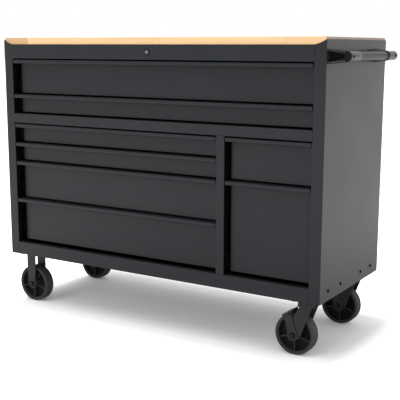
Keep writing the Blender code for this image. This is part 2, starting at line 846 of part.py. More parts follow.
def handle_tube(front_end, rear_ring_low, material):
    """The grip tube with a larger sleeve at each end, seated in the front cup."""
    rear_end = rear_ring_low + TUBE_TAIL
    chamfer = TUBE_END_CHAMFER
    shoulder = SLEEVE_RADIUS - chamfer
    levels = (
        (shoulder, front_end),
        (SLEEVE_RADIUS, front_end + chamfer),
        (SLEEVE_RADIUS, front_end + SLEEVE_LENGTH),
        (TUBE_RADIUS, front_end + SLEEVE_LENGTH + SHEET),
        (TUBE_RADIUS, rear_ring_low - SHEET),
        (SLEEVE_RADIUS, rear_ring_low),
        (SLEEVE_RADIUS, rear_end - chamfer),
        (shoulder, rear_end),
    )
    shape = bmesh.new()
    rings = [
        [shape.verts.new((HANDLE_X + a, y, HANDLE_Z + b)) for a, b in circle(radius, TUBE_SIDES)]
        for radius, y in levels
    ]
    shape.faces.new(rings[0])
    shape.faces.new(rings[-1])
    for ring, beside in zip(rings, rings[1:]):
        for index in range(TUBE_SIDES):
            after = (index + 1) % TUBE_SIDES
            shape.faces.new((ring[index], ring[after], beside[after], beside[index]))
    return shade(to_object("handle_tube", shape, material))


# Casters


def wheel(name, x, y, rib_turn, material):
    """A crowned tread and rim on a ribbed web, with a wide hub, turned as one profile."""
    hub_end, web = HUB_WIDTH / 2, WEB_THICKNESS / 2
    half, rim = TREAD_WIDTH / 2, TREAD_WIDTH / 2 - RIM_RECESS
    bore = AXLE_RADIUS + AXLE_CLEAR
    side = [
        (bore, hub_end),
        (HUB_RADIUS, hub_end),
        (HUB_RADIUS, web),
        (RIM_INNER_RADIUS, web),
        (RIM_INNER_RADIUS, rim),
        (WHEEL_RADIUS - 2 * TREAD_SHOULDER, half),
        (WHEEL_RADIUS - TREAD_SHOULDER, half),
        (WHEEL_RADIUS - TREAD_CROWN, half - TREAD_SHOULDER),
    ]
    profile = [(r, y + run) for r, run in side] + [(WHEEL_RADIUS, y)]
    profile += [(r, y - run) for r, run in side[::-1]]
    body = lathe(profile, (x, AXLE_Z), WHEEL_SIDES)
    start, stop = (bore + HUB_RADIUS) / 2, RIM_INNER_RADIUS + TREAD_SHOULDER / 2
    ribs = []
    for number in range(RIB_COUNT):
        rib = box((start, -RIB_DEPTH / 2, -RIB_WIDTH / 2), (stop, RIB_DEPTH / 2, RIB_WIDTH / 2))
        turn = Matrix.Rotation(rib_turn + 2 * math.pi * number / RIB_COUNT, 4, "Y")
        rib.transform(Matrix.Translation((x, y, AXLE_Z)) @ turn)
        ribs.append(rib)
    made = shade(combined(name, material, body, ribs))
    return set_origin(made, (x, y, AXLE_Z))


def arc(centre, radius, first_deg, last_deg, steps=LEG_FOOT_STEPS):
    """Points of an arc in the XZ plane."""
    points = []
    for step in range(steps + 1):
        angle = math.radians(first_deg + (last_deg - first_deg) * step / steps)
        points.append((centre[0] + radius * math.cos(angle), centre[1] + radius * math.sin(angle)))
    return points


def fork_channel(x, y, half_run, crown_top):
    """A plain inverted U of fork sheet, to be trimmed to the outline of its legs."""
    leg = FORK_HALF + FORK_SHEET / 2
    crown = crown_top - FORK_SHEET / 2
    foot = AXLE_Z - 2 * LEG_FOOT_RADIUS
    path = [(y - leg, foot), (y - leg, crown), (y + leg, crown), (y + leg, foot)]
    return folded(path, FORK_SHEET, "X", x - half_run, x + half_run)


def axle_bolt(x, y, collar):
    """Axle with a hexagon head and nut outside the legs, or outside what the legs carry."""
    start = FORK_HALF + FORK_SHEET + collar
    reach = start + AXLE_HEAD
    inside = reach - PLATE_LAP
    pieces = [rod((x, AXLE_Z), AXLE_RADIUS, y - inside, y + inside, "Y", HUB_SIDES)]
    for side in (-1, 1):
        near, far = sorted((y + side * start, y + side * reach))
        pieces.append(rod((x, AXLE_Z), AXLE_HEAD_RADIUS, near, far, "Y", 6))
    return pieces


def top_plate(x, y):
    return box(
        (x - PLATE_LENGTH / 2, y - PLATE_WIDTH / 2, PLATE_BOTTOM),
        (x + PLATE_LENGTH / 2, y + PLATE_WIDTH / 2, BOTTOM - CLEAR),
    )


def rigid_fork(name, x, y, material):
    """A fixed caster's fork and mounting plate, pressed and welded, with its axle."""
    half = RIGID_LEG_WIDTH / 2
    shoulder = PLATE_BOTTOM - RIGID_SHOULDER_DROP
    outline = [(x + half, BOTTOM), (x - half, BOTTOM), (x - half, shoulder)]
    outline += arc((x, AXLE_Z), LEG_FOOT_RADIUS, 200.0, 340.0)
    outline += [(x + half, shoulder)]
    channel_body = fork_channel(x, y, PLATE_LENGTH, PLATE_BOTTOM + PLATE_LAP)
    trim = prism(outline, "Y", y - PLATE_WIDTH, y + PLATE_WIDTH)
    made = combined(name, material, channel_body, [trim], "INTERSECT")
    return combined(name, material, made, [top_plate(x, y)] + axle_bolt(x, y, -PLATE_LAP))


def swivel_plate(name, x, y, material):
    """The top plate of a swivel caster with its kingpin and nut."""
    nut_top = CROWN_TOP - FORK_SHEET - CLEAR
    pin_low = nut_top - KINGPIN_NUT
    pin = rod((x, y), KINGPIN_RADIUS, pin_low, PLATE_BOTTOM + PLATE_LAP, "Z", HUB_SIDES)
    nut = rod((x, y), KINGPIN_NUT_RADIUS, pin_low + PLATE_LAP, nut_top, "Z", 6)
    return shade(combined(name, material, top_plate(x, y), [pin, nut]))


def swivel_leg(x, axle_x):
    """The outline of a raked leg: from the crown down to a rounded foot at the axle."""
    top = CROWN_TOP + OVERRUN
    waist = CROWN_TOP - LEG_WAIST_DROP
    outline = [
        (x + CROWN_OVERHANG, top),
        (x - CROWN_OVERHANG, top),
        (x - CROWN_OVERHANG, CROWN_TOP - FORK_SHEET),
        (x - LEG_TOP_LEFT, CROWN_TOP - 2 * FORK_SHEET),
        (axle_x - LEG_WAIST, waist),
    ]
    outline += arc((axle_x, AXLE_Z), LEG_FOOT_RADIUS, 170.0, 285.0)
    outline += arc((axle_x + LEG_HEEL, AXLE_Z), LEG_HEEL_RADIUS, 290.0, 340.0, 2)
    outline += [
        (x + LEG_TOP_RIGHT, CROWN_TOP - 2 * FORK_SHEET),
        (x + CROWN_OVERHANG, CROWN_TOP - FORK_SHEET),
    ]
    return outline


def swivel_fork(name, x, y, material):
    """A raked fork under a bearing race, with its axle."""
    axle_x = x + TRAIL_SIDE * TRAIL
    trim = prism(swivel_leg(x, axle_x), "Y", y - PLATE_WIDTH, y + PLATE_WIDTH)
    channel_body = fork_channel(x, y, PLATE_WIDTH, CROWN_TOP)
    made = combined(name, material, channel_body, [trim], "INTERSECT")
    race = rod((x, y), RACE_RADIUS, CROWN_TOP - PLATE_LAP, CROWN_TOP + RACE_HEIGHT, "Z", LOCK_SIDES)
    carried = axle_bolt(axle_x, y, ARM_SHEET + 2 * CLEAR)
    made = combined(name, material, made, [race] + carried)
    low, high = CROWN_TOP - 2 * FORK_SHEET, PLATE_BOTTOM + PLATE_LAP
    bore = rod((x, y), KINGPIN_RADIUS + CLEAR, low, high, "Z", HUB_SIDES)
    made = shade(combined(name, material, made, [bore], "DIFFERENCE"))
    return set_origin(made, (x, y, PLATE_BOTTOM))


def brake_pedal(name, x, y, material):
    """Two arms on the axle, with an ear each, joined by a slanted pad over the wheel."""
    axle_x = x + TRAIL_SIDE * TRAIL
    inner = FORK_HALF + FORK_SHEET + CLEAR
    outer = inner + ARM_SHEET
    top = Vector((axle_x + PAD_TOP_REACH, AXLE_Z + PAD_TOP_RISE))
    low = Vector((axle_x + PAD_LOW_REACH, AXLE_Z + PAD_LOW_RISE))
    along = (top - low).normalized()
    under = Vector((along.y, -along.x)) * PAD_SHEET
    corners = [tuple(low), tuple(top), tuple(top + under), tuple(low + under)]
    pad = prism(corners, "Y", y - outer + PLATE_LAP, y + outer - PLATE_LAP)
    foot = arc((axle_x, AXLE_Z), ARM_FOOT_RADIUS, 165.0, 375.0, 2 * LEG_FOOT_STEPS)
    ear = arc((axle_x + EAR_REACH, AXLE_Z + EAR_RISE), EAR_RADIUS, 0.0, 120.0)
    outline = foot + [(axle_x + ARM_RIGHT, AXLE_Z + 2 * ARM_FOOT_RADIUS)]
    outline += [(axle_x + ARM_RIGHT, AXLE_Z + ARM_RISE)] + ear
    outline += [tuple(low), tuple(low + under), (axle_x - ARM_LEFT, AXLE_Z + ARM_RISE)]
    arms = []
    for side in (-1, 1):
        near, far = sorted((y + side * inner, y + side * outer))
        arms.append(prism(outline, "Y", near, far))
    made = combined(name, material, pad, arms)
    low_y, high_y = y - outer - OVERRUN, y + outer + OVERRUN
    bores = [
        rod((axle_x, AXLE_Z), AXLE_RADIUS + CLEAR, low_y, high_y, "Y", HUB_SIDES),
        rod((axle_x + EAR_REACH, AXLE_Z + EAR_RISE), EAR_HOLE_RADIUS, low_y, high_y, "Y", HUB_SIDES),
    ]
    made = shade(combined(name, material, made, bores, "DIFFERENCE"))
    return set_origin(made, (axle_x, y, AXLE_Z))


def casters(finishes):
    rows = (("front", FRONT + CASTER_FROM_FRONT), ("rear", BACK - CASTER_FROM_BACK))
    down = math.pi / 2
    for place, y in rows:
        x = LEFT + LEFT_CASTER_INSET
        rigid_fork(f"caster_left_{place}_fork", x, y, finishes["fork"])
        wheel(f"caster_left_{place}_wheel", x, y, down, finishes["wheel"])
    for place, y in rows:
        x = RIGHT - RIGHT_CASTER_INSET
        stem = f"caster_right_{place}"
        swivel_plate(stem + "_plate", x, y, finishes["fork"])
        swivel_fork(stem + "_fork", x, y, finishes["fork"])
        wheel(stem + "_wheel", x + TRAIL_SIDE * TRAIL, y, down, finishes["wheel"])
        brake_pedal(stem + "_pedal", x, y, finishes["fork"])


def handle(finishes):
    front_outer = FRONT + BRACKET_FROM_FRONT
    rear_outer = front_outer + HANDLE_SPAN
    front_tip = front_outer + FRONT_TIP_FROM_END
    rear_tip = rear_outer - REAR_TIP_FROM_END
    black = finishes["moulding"]
    handle_bracket(
        "handle_bracket_front", front_outer, 1, FRONT_BRACKET_LENGTH, front_tip, True, black
    )
    handle_bracket("handle_bracket_rear", rear_outer, -1, REAR_BRACKET_LENGTH, rear_tip, False, black)
    seat = front_tip - RING_LENGTH / 2 + CUP_FLOOR + CLEAR
    handle_tube(seat, rear_tip - RING_LENGTH / 2, finishes["tube"])


def main():
    clear_scene()
    finishes = make_finishes()
    side_panel("left_side_panel", LEFT, 1, finishes["side"])
    side_panel("right_side_panel", RIGHT, -1, finishes["side"])
    top_deck(finishes["front"])
    mid_rail(finishes["front"])
    base_pan(finishes["front"])
    back_panel(finishes["side"])
    worktop(finishes["timber"])
    bays = all_drawers()
    centre_divider(bays["left"], bays["right"], finishes["front"])
    for drawer in bays["upper"] + bays["left"] + bays["right"]:
        drawer_front(drawer, finishes["front"])
        drawer_tray(drawer, finishes["front"])
        slide_members(drawer, finishes["zinc"])
    rack("slide_rack_left", bays["upper"] + bays["left"], "l", LEFT + SHEET, finishes["zinc"])
    rack("slide_rack_right", bays["upper"] + bays["right"], "r", RIGHT - SHEET, finishes["zinc"])
    lock_housing(finishes["chrome"])
    lock_core(finishes["chrome"])
    handle(finishes)
    casters(finishes)


main()
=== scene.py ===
"""Finish pieces, materials, light and camera for a rolling tool cabinet."""

import math

import bpy
import numpy as np
from mathutils import Matrix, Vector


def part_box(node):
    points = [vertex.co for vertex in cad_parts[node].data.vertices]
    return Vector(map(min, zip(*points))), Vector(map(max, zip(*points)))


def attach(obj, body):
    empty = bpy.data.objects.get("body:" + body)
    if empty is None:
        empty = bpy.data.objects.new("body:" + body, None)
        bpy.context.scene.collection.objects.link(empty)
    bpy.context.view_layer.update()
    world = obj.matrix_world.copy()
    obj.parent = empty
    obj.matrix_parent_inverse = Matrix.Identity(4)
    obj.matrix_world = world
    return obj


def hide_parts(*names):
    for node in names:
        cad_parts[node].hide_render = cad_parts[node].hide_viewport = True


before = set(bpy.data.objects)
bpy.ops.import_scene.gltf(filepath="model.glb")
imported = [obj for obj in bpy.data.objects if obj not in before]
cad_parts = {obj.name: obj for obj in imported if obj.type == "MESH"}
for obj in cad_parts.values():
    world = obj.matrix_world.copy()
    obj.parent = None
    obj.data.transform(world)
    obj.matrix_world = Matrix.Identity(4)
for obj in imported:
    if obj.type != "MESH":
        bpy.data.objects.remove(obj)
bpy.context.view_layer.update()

bl_info = {
    "name": "Rolling tool cabinet",
    "version": (1, 0, 0),
    "blender": (4, 5, 0),
    "location": "View3D > Sidebar > Cabinet",
    "description": "Dresses the packed tool cabinet with finished sheet metal, timber and casters",
    "category": "Object",
}


def corners(node):
    """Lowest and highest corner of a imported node, as arrays."""
    low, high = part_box(node)
    return np.array(low), np.array(high)


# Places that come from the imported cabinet
BODY_LOW, BODY_HIGH = corners("left_side_panel")
LEFT, FRONT, BOTTOM = BODY_LOW
BACK, SIDE_TOP = BODY_HIGH[1:]
RIGHT = corners("right_side_panel")[1][0]
POST = BODY_HIGH[0] - LEFT
UPPER_TOP = corners("top_deck")[0][2]
LIP_TOP = corners("top_deck")[1][2]
LOWER_TOP, UPPER_BOTTOM = corners("mid_rail")[0][2], corners("mid_rail")[1][2]
LOWER_BOTTOM = corners("drawer_left_4_front")[0][2] - 0.0085
TIMBER_LOW, TIMBER_HIGH = corners("worktop")
TUBE_LOW, TUBE_HIGH = corners("handle_tube")
DRAWERS = sorted(name[:-6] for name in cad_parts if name.endswith("_front") and "drawer" in name)
SEAM = 0.00005
EVEN = 1e-9


class CabinetSizes(bpy.types.PropertyGroup):
    """Sizes of the finished pieces"""

    sheet: bpy.props.FloatProperty(
        name="Sheet", description="Thickness of the body sheet", default=0.0012, unit="LENGTH"
    )
    clear: bpy.props.FloatProperty(
        name="Clearance", description="Gap between neighbouring panels", default=0.0003, unit="LENGTH"
    )
    fold: bpy.props.FloatProperty(
        name="Fold radius", description="Radius of a fold, to the middle of the sheet", default=0.0008,
        unit="LENGTH",
    )
    edge: bpy.props.FloatProperty(
        name="Sheet edge", description="Broken edge of a cut sheet", default=0.0002, unit="LENGTH"
    )
    stave: bpy.props.FloatProperty(
        name="Stave width", description="Width of one timber stave", default=0.0405, unit="LENGTH"
    )
    block: bpy.props.FloatProperty(
        name="Block length", description="Mean length of a timber block", default=0.42, unit="LENGTH"
    )
    joint: bpy.props.FloatProperty(
        name="Joint", description="Width of the fine groove between blocks", default=0.00012,
        unit="LENGTH",
    )
    timber_edge: bpy.props.FloatProperty(
        name="Timber edge", description="Eased edge of a timber block", default=0.0003, unit="LENGTH"
    )
    pull_height: bpy.props.FloatProperty(
        name="Pull height", description="Height of a drawer's pull", default=0.0125, unit="LENGTH"
    )
    pull_lip: bpy.props.FloatProperty(
        name="Pull lip", description="Depth of the lip under a pull", default=0.007, unit="LENGTH"
    )
    pull_fold: bpy.props.FloatProperty(
        name="Pull fold", description="Fold radius of a pull", default=0.0022, unit="LENGTH"
    )
    panel_depth: bpy.props.FloatProperty(
        name="Panel depth", description="How far a drawer's panel stands back", default=0.025,
        unit="LENGTH",
    )
    slide_height: bpy.props.FloatProperty(
        name="Slide height", description="Height of a drawer slide", default=0.045, unit="LENGTH"
    )
    slide_thickness: bpy.props.FloatProperty(
        name="Slide thickness", description="Thickness of a drawer slide", default=0.0127,
        unit="LENGTH",
    )
    ball: bpy.props.FloatProperty(
        name="Ball", description="Radius of a slide's balls", default=0.00115, unit="LENGTH"
    )
    tube: bpy.props.FloatProperty(
        name="Grip tube", description="Radius of the grip tube", default=0.0125, unit="LENGTH"
    )
    sleeve: bpy.props.FloatProperty(
        name="Sleeve", description="Radius of the tube's end sleeves", default=0.0134, unit="LENGTH"
    )
    ribs: bpy.props.IntProperty(
        name="Ribs", description="Ribs on each face of a wheel", default=5, min=3, max=12
    )
    rib: bpy.props.FloatProperty(
        name="Rib", description="Thickness of a wheel's rib", default=0.0042, unit="LENGTH"
    )


class CabinetColours(bpy.types.PropertyGroup):
    """Colours of the finished pieces, scene linear"""

    coat: bpy.props.FloatVectorProperty(
        name="Powder coat", description="Body and drawer fronts", default=(0.0175, 0.0188, 0.0212),
        subtype="COLOR", min=0, max=1,
    )
    timber: bpy.props.FloatVectorProperty(
        name="Timber", description="Middle tone of the worktop", default=(0.94, 0.62, 0.33),
        subtype="COLOR", min=0, max=1,
    )
    timber_dark: bpy.props.FloatVectorProperty(
        name="Dark timber", description="Darkest blocks and the grain", default=(0.68, 0.38, 0.17),
        subtype="COLOR", min=0, max=1,
    )
    # The slide plate is set nearly black, which also stands in for the shade in the gaps beside the drawers, so no
    # slide glints there.
    zinc: bpy.props.FloatVectorProperty(
        name="Zinc plate", description="Dark plated drawer slides and racks", default=(0.035, 0.035, 0.037),
        subtype="COLOR", min=0, max=1,
    )
    tube: bpy.props.FloatVectorProperty(
        name="Grip tube", description="Painted tube between the sleeves", default=(0.020, 0.0215, 0.023),
        subtype="COLOR", min=0, max=1,
    )
    sleeve: bpy.props.FloatVectorProperty(
        name="Sleeve", description="Metal end sleeves", default=(0.095, 0.097, 0.102),
        subtype="COLOR", min=0, max=1,
    )
    moulding: bpy.props.FloatVectorProperty(
        name="Moulding", description="Handle brackets", default=(0.0075, 0.0078, 0.0084),
        subtype="COLOR", min=0, max=1,
    )
    fork: bpy.props.FloatVectorProperty(
        name="Fork", description="Painted caster forks and pedals", default=(0.026, 0.026, 0.028),
        subtype="COLOR", min=0, max=1,
    )
    wheel: bpy.props.FloatVectorProperty(
        name="Wheel", description="Wheel centres", default=(0.030, 0.030, 0.032),
        subtype="COLOR", min=0, max=1,
    )
    tread: bpy.props.FloatVectorProperty(
        name="Tread", description="Wheel treads", default=(0.050, 0.050, 0.053),
        subtype="COLOR", min=0, max=1,
    )
    lock: bpy.props.FloatVectorProperty(
        name="Lock", description="Lock housing and core", default=(0.30, 0.30, 0.31),
        subtype="COLOR", min=0, max=1,
    )


class CabinetLight(bpy.types.PropertyGroup):
    """Lamps, floor and surroundings"""

    dome: bpy.props.FloatProperty(
        name="Dome", description="Even light from all round", default=0.74, min=0
    )
    key: bpy.props.FloatProperty(
        name="Key lamp", description="Large soft lamp above", default=55.0, min=0, subtype="POWER"
    )
    side: bpy.props.FloatProperty(
        name="Side lamp", description="Soft lamp on the right", default=10.0, min=0, subtype="POWER"
    )
    front: bpy.props.FloatProperty(
        name="Front lamp", description="Soft lamp in front", default=27.0, min=0, subtype="POWER"
    )
    # Floor fill, shadow reach and floor glow set the floor's own glow: weak next to the cabinet, a painted shadow
    # round its footprint, and in reflections a painted reflection of the far floor.
    floor: bpy.props.FloatProperty(
        name="Floor fill", description="Floor brightness inside a full shadow", default=0.07, min=0
    )
    shadow_reach: bpy.props.FloatProperty(
        name="Shadow reach", description="Distance from the cabinet at which the floor is white",
        default=0.16, unit="LENGTH",
    )
    floor_glow: bpy.props.FloatProperty(
        name="Floor glow", description="Extra brightness of the far floor in a reflection", default=0.85,
        min=0,
    )
    front_glow: bpy.props.FloatProperty(
        name="Front glow", description="Brightness that a shiny face sees in front", default=0.42, min=0
    )


# Shapes: each returns a closed shell as points and a list of face arrays


def grid_faces(rows, columns, wrap_rows=False, wrap_columns=True):
    """Face (i, j) joins points (i, j), (i, j + 1), (i + 1, j + 1) and (i + 1, j) of a grid."""
    i = np.arange(rows if wrap_rows else rows - 1)[:, None]
    j = np.arange(columns if wrap_columns else columns - 1)[None, :]
    after_i, after_j = (i + 1) % rows, (j + 1) % columns
    quads = [i * columns + j, i * columns + after_j, after_i * columns + after_j, after_i * columns + j]
    return np.stack(np.broadcast_arrays(*quads), axis=-1).reshape(-1, 4)


def outward(points, faces):
    """Turns a shell's faces round if its volume, a sum of p0 . (p1 x p2) / 6, is negative."""
    middle = points.mean(axis=0)
    total = 0.0
    for group in faces:
        first = points[group[:, 0]] - middle
        for step in range(1, group.shape[1] - 1):
            second, third = points[group[:, step]] - middle, points[group[:, step + 1]] - middle
            total += np.einsum("ij,ij->", first, np.cross(second, third))
    return points, [group if total > 0 else group[:, ::-1] for group in faces]


def capped(grid):
    """A tube of rings, closed by one flat face on its first and one on its last ring."""
    rows, columns = grid.shape[:2]
    ends = np.stack([np.arange(columns), np.arange(columns)[::-1] + (rows - 1) * columns])
    ends[0] = ends[0][::-1]
    ends[1] = ends[1][::-1]
    faces = [grid_faces(rows, columns), ends]
    return outward(grid.reshape(-1, 3), faces)


def placed(first, second, run, axis):
    """Points from two coordinates across an axis and one along it."""
    first, second, run = np.broadcast_arrays(first, second, run)
    order = {"X": (run, first, second), "Y": (first, run, second), "Z": (first, second, run)}
    return np.stack(order[axis], axis=-1)


def unit(vectors):
    return vectors / np.maximum(np.linalg.norm(vectors, axis=-1, keepdims=True), EVEN)


def round_corners(path, radius, steps=6):
    """Each inner corner becomes an arc: its centre lies on the bisector at radius / sin(half
    the corner), and its points turn evenly from one tangent point to the other."""
    path = np.asarray(path, float)
    corner = path[1:-1]
    back, ahead = unit(path[:-2] - corner), unit(path[2:] - corner)
    half = np.arccos(np.clip((back * ahead).sum(axis=1), -1, 1)) / 2
    centre = corner + unit(back + ahead) * (radius / np.sin(half))[:, None]
    start = corner + back * (radius / np.tan(half))[:, None] - centre
    end = corner + ahead * (radius / np.tan(half))[:, None] - centre
    sweep = np.arctan2(start[:, 0] * end[:, 1] - start[:, 1] * end[:, 0], (start * end).sum(axis=1))
    turn = sweep[:, None] * np.linspace(0, 1, steps + 1)
    spin = np.stack(
        [
            start[:, :1] * np.cos(turn) - start[:, 1:] * np.sin(turn),
            start[:, :1] * np.sin(turn) + start[:, 1:] * np.cos(turn),
        ],
        axis=-1,
    )
    arcs = (centre[:, None] + spin).reshape(-1, 2)
    return np.concatenate([path[:1], arcs, path[-1:]])


def mitred_normals(path):
    """Unit normals of the runs, averaged at each point and lengthened by 1 / cos(half the turn)."""
    runs = unit(np.diff(path, axis=0))
    runs = np.concatenate([runs[:1], runs, runs[-1:]])
    normals = np.stack([-runs[:, 1], runs[:, 0]], axis=-1)
    middle = unit(normals[:-1] + normals[1:])
    return middle / (middle * normals[1:]).sum(axis=1, keepdims=True)


def sheet(path, thickness, low, high, axis, edge):
    """A folded sheet: point (i, k) is path point i, moved by half the thickness times a ring's
    across value k along the mitred normal, and carried along the axis from low(i) to high(i).
    The ring has eight points, so that the cut edges are broken."""
    path = np.asarray(path, float)
    low = np.broadcast_to(low, len(path)).astype(float)
    high = np.broadcast_to(high, len(path)).astype(float)
    inner = 1 - 2 * edge / thickness
    across = np.array([-1, -1, -inner, inner, 1, 1, inner, -inner]) * thickness / 2
    share = np.array([0, 1, 1, 1, 1, 0, 0, 0], float)
    inset = np.array([1, -1, 0, 0, -1, 1, 0, 0]) * edge
    flat = path[:, None] + mitred_normals(path)[:, None] * across[None, :, None]
    run = low[:, None] + (high - low)[:, None] * share + inset
    return capped(placed(flat[..., 0], flat[..., 1], run, axis))


def drawn_in(outline, amount):
    """The outline moved inwards by an amount, along its mitred normals."""
    outline = np.asarray(outline, float)
    loop = np.concatenate([outline[-1:], outline, outline[:1]])
    normals = mitred_normals(loop)[1:-1]
    after = np.roll(outline, -1, axis=0)
    area = (outline[:, 0] * after[:, 1] - outline[:, 1] * after[:, 0]).sum()
    return outline + normals * (amount if area > 0 else -amount)


def plate(outline, low, high, axis, edge):
    """An outline carried along an axis in four rings, the first and last drawn in by the edge."""
    low, high = min(low, high), max(low, high)
    outline = np.asarray(outline, float)
    rings = np.stack([drawn_in(outline, edge), outline, outline, drawn_in(outline, edge)])
    run = np.array([low, low + edge, high - edge, high])[:, None]
    return capped(placed(rings[..., 0], rings[..., 1], run, axis))


def block(low, high, edge):
    """A rectangular block with all its edges broken."""
    (x0, y0, z0), (x1, y1, z1) = low, high
    outline = [
        (x0 + edge, y0), (x1 - edge, y0), (x1, y0 + edge), (x1, y1 - edge),
        (x1 - edge, y1), (x0 + edge, y1), (x0, y1 - edge), (x0, y0 + edge),
    ]
    return plate(outline, z0, z1, "Z", edge)


def turned(profile, centre, axis, sides, limit=None):
    """Radius and run pairs turned about an axis: point (i, j) lies at the radius i in direction j.
    A limit holds the most that a radius may be in each direction, which cuts flats."""
    profile = np.asarray(profile, float)
    angle = np.arange(sides) * 2 * np.pi / sides
    radius = np.repeat(profile[:, :1], sides, axis=1)
    if limit is not None:
        radius = np.minimum(radius, limit)
    first, second = centre[0] + radius * np.cos(angle), centre[1] + radius * np.sin(angle)
    return capped(placed(first, second, profile[:, 1:], axis))


def ring(profile, centre, axis, sides):
    """A closed profile of radius and run, turned about an axis: a grid closed both ways."""
    profile = np.asarray(profile, float)
    angle = np.arange(sides) * 2 * np.pi / sides
    first = centre[0] + profile[:, :1] * np.cos(angle)
    second = centre[1] + profile[:, :1] * np.sin(angle)
    grid = placed(first, second, profile[:, 1:], axis)
    return outward(grid.reshape(-1, 3), [grid_faces(len(profile), sides, True, True)])


def flats(apothem, count, sides, turn=0.0):
    """The radius of a polygon with flats: apothem / cos(angle from the middle of the flat)."""
    angle = np.arange(sides) * 2 * np.pi / sides + turn
    part = np.mod(angle, 2 * np.pi / count) - np.pi / count
    return apothem / np.cos(part)


def nut(centre, axis, near, far, across, sides=48):
    """A hexagon nut: a turned profile with a cone at its outer end, cut by six flats."""
    away = 1 if far > near else -1
    corner = across / 2 / math.cos(math.pi / 6)
    profile = [
        (across / 2 * 0.55, near), (corner, near), (corner, far - away * across * 0.07),
        (across / 2 * 0.96, far), (across / 2 * 0.55, far),
    ]
    limit = np.tile(flats(across / 2, 6, sides), (len(profile), 1))
    limit[0] = limit[-1] = limit[-2] = 1.0
    return turned(profile, centre, axis, sides, limit)


def button_screw(centre, axis, face, away, radius, sides=36):
    """A domed head with a hexagon socket: the head's radius falls as a circle's arc with its run."""
    height = radius * 0.55
    turn = np.linspace(0, math.pi / 2 * 0.8, 6)
    dome = np.stack([radius * np.cos(turn), face + away * height * np.sin(turn)], axis=1)
    socket = radius * 0.42
    top, floor = dome[-1, 1], face + away * height * 0.25
    profile = np.concatenate([
        [(radius * 0.9, face - away * height * 0.3)], [(radius, face - away * height * 0.3)], dome,
        [(socket * 1.2, top), (socket * 1.2, floor)],
    ])
    limit = np.full((len(profile), sides), 1.0)
    limit[-2:] = flats(socket, 6, sides)
    return turned(profile, centre, axis, sides, limit)


# Pieces


def joined(shells):
    """One set of points and loops from several shells."""
    points, loops, totals, base = [], [], [], 0
    for shell_points, groups in shells:
        points.append(shell_points)
        for group in groups:
            loops.append((group + base).reshape(-1))
            totals.append(np.full(len(group), group.shape[1]))
        base += len(shell_points)
    return np.concatenate(points), np.concatenate(loops), np.concatenate(totals)


def piece(name, shells, material, body, nodes=(), smooth=28.0, values=None, inner=None):
    """Puts shells into one mesh, whose object sits at the origin, and hands it to its body.
    Inner holds pairs of a further finish and a test of face centres that says which take it."""
    points, loops, totals = joined(shells)
    mesh = bpy.data.meshes.new(name)
    mesh.vertices.add(len(points))
    mesh.vertices.foreach_set("co", points.astype(np.float32).reshape(-1))
    mesh.loops.add(len(loops))
    mesh.loops.foreach_set("vertex_index", loops.astype(np.int32))
    mesh.polygons.add(len(totals))
    mesh.polygons.foreach_set("loop_start", (np.cumsum(totals) - totals).astype(np.int32))
    mesh.polygons.foreach_set("loop_total", totals.astype(np.int32))
    mesh.update(calc_edges=True)
    for label, held in (values or {}).items():
        mesh.attributes.new(label, "FLOAT", "POINT").data.foreach_set("value", held)
    mesh.validate()
    mesh.materials.append(material)
    if inner:
        centres = np.empty(len(mesh.polygons) * 3, np.float32)
        mesh.polygons.foreach_get("center", centres)
        chosen = np.zeros(len(mesh.polygons), np.int32)
        for index, (finish, test) in enumerate(inner, 1):
            mesh.materials.append(finish)
            chosen[test(centres.reshape(-1, 3))] = index
        mesh.polygons.foreach_set("material_index", chosen)
    mesh.shade_smooth()
    mesh.set_sharp_from_angle(angle=math.radians(smooth))
    made = bpy.data.objects.new(name, mesh)
    bpy.context.scene.collection.objects.link(made)
    even = made.modifiers.new("even_shading", "WEIGHTED_NORMAL")
    even.keep_sharp = True
    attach(made, body)
    if nodes:
        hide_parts(*nodes)
    return made


# Materials


def add_node(tree, kind, inputs=None, **settings):
    """One shader node, with its settings, and its inputs as plain values or as links."""
    made = tree.nodes.new(kind)
    for name, value in settings.items():
        setattr(made, name, value)
    for socket, value in (inputs or {}).items():
        if isinstance(value, bpy.types.NodeSocket):
            tree.links.new(value, made.inputs[socket])
        else:
            made.inputs[socket].default_value = value
    return made


def tinted(colour, factor):
    return (*(min(1.0, part * factor) for part in colour), 1.0)


def mixed(tree, factor, first, second):
    """A colour between two colours."""
    made = add_node(tree, "ShaderNodeMix", {0: factor, 6: first, 7: second}, data_type="RGBA")
    return made.outputs[2]


def spread(tree, value, low, high):
    """A value from 0 to 1 brought between two limits."""
    made = add_node(
        tree, "ShaderNodeMapRange", {"Value": value, "From Min": 0.3, "From Max": 0.7,
                                     "To Min": low, "To Max": high}
    )
    return made.outputs[0]


def noise(tree, vector, scale, detail=2.0, stretch=(1, 1, 1)):
    """Cloud noise on object coordinates, stretched along an axis where grain runs that way."""
    turned_by = add_node(tree, "ShaderNodeMapping", {"Vector": vector, "Scale": stretch})
    made = add_node(
        tree, "ShaderNodeTexNoise",
        {"Vector": turned_by.outputs[0], "Scale": scale, "Detail": detail, "Roughness": 0.55},
    )
    return made.outputs["Fac"]


def new_material(name, roughness, metallic=0.0, ior=1.4):
    made = bpy.data.materials.get(name) or bpy.data.materials.new(name)
    made.use_nodes = True
    tree = made.node_tree
    shader = next(n for n in tree.nodes if n.type == "BSDF_PRINCIPLED")
    shader.inputs["Roughness"].default_value = roughness
    shader.inputs["Metallic"].default_value = metallic
    shader.inputs["IOR"].default_value = ior
    # Every reflection takes a cool tint, a painted tint that stands in for bluish light round the cabinet.
    shader.inputs["Specular Tint"].default_value = (0.93, 0.965, 1.0, 1.0)
    place = add_node(tree, "ShaderNodeTexCoord").outputs["Object"]
    return made, tree, shader, place


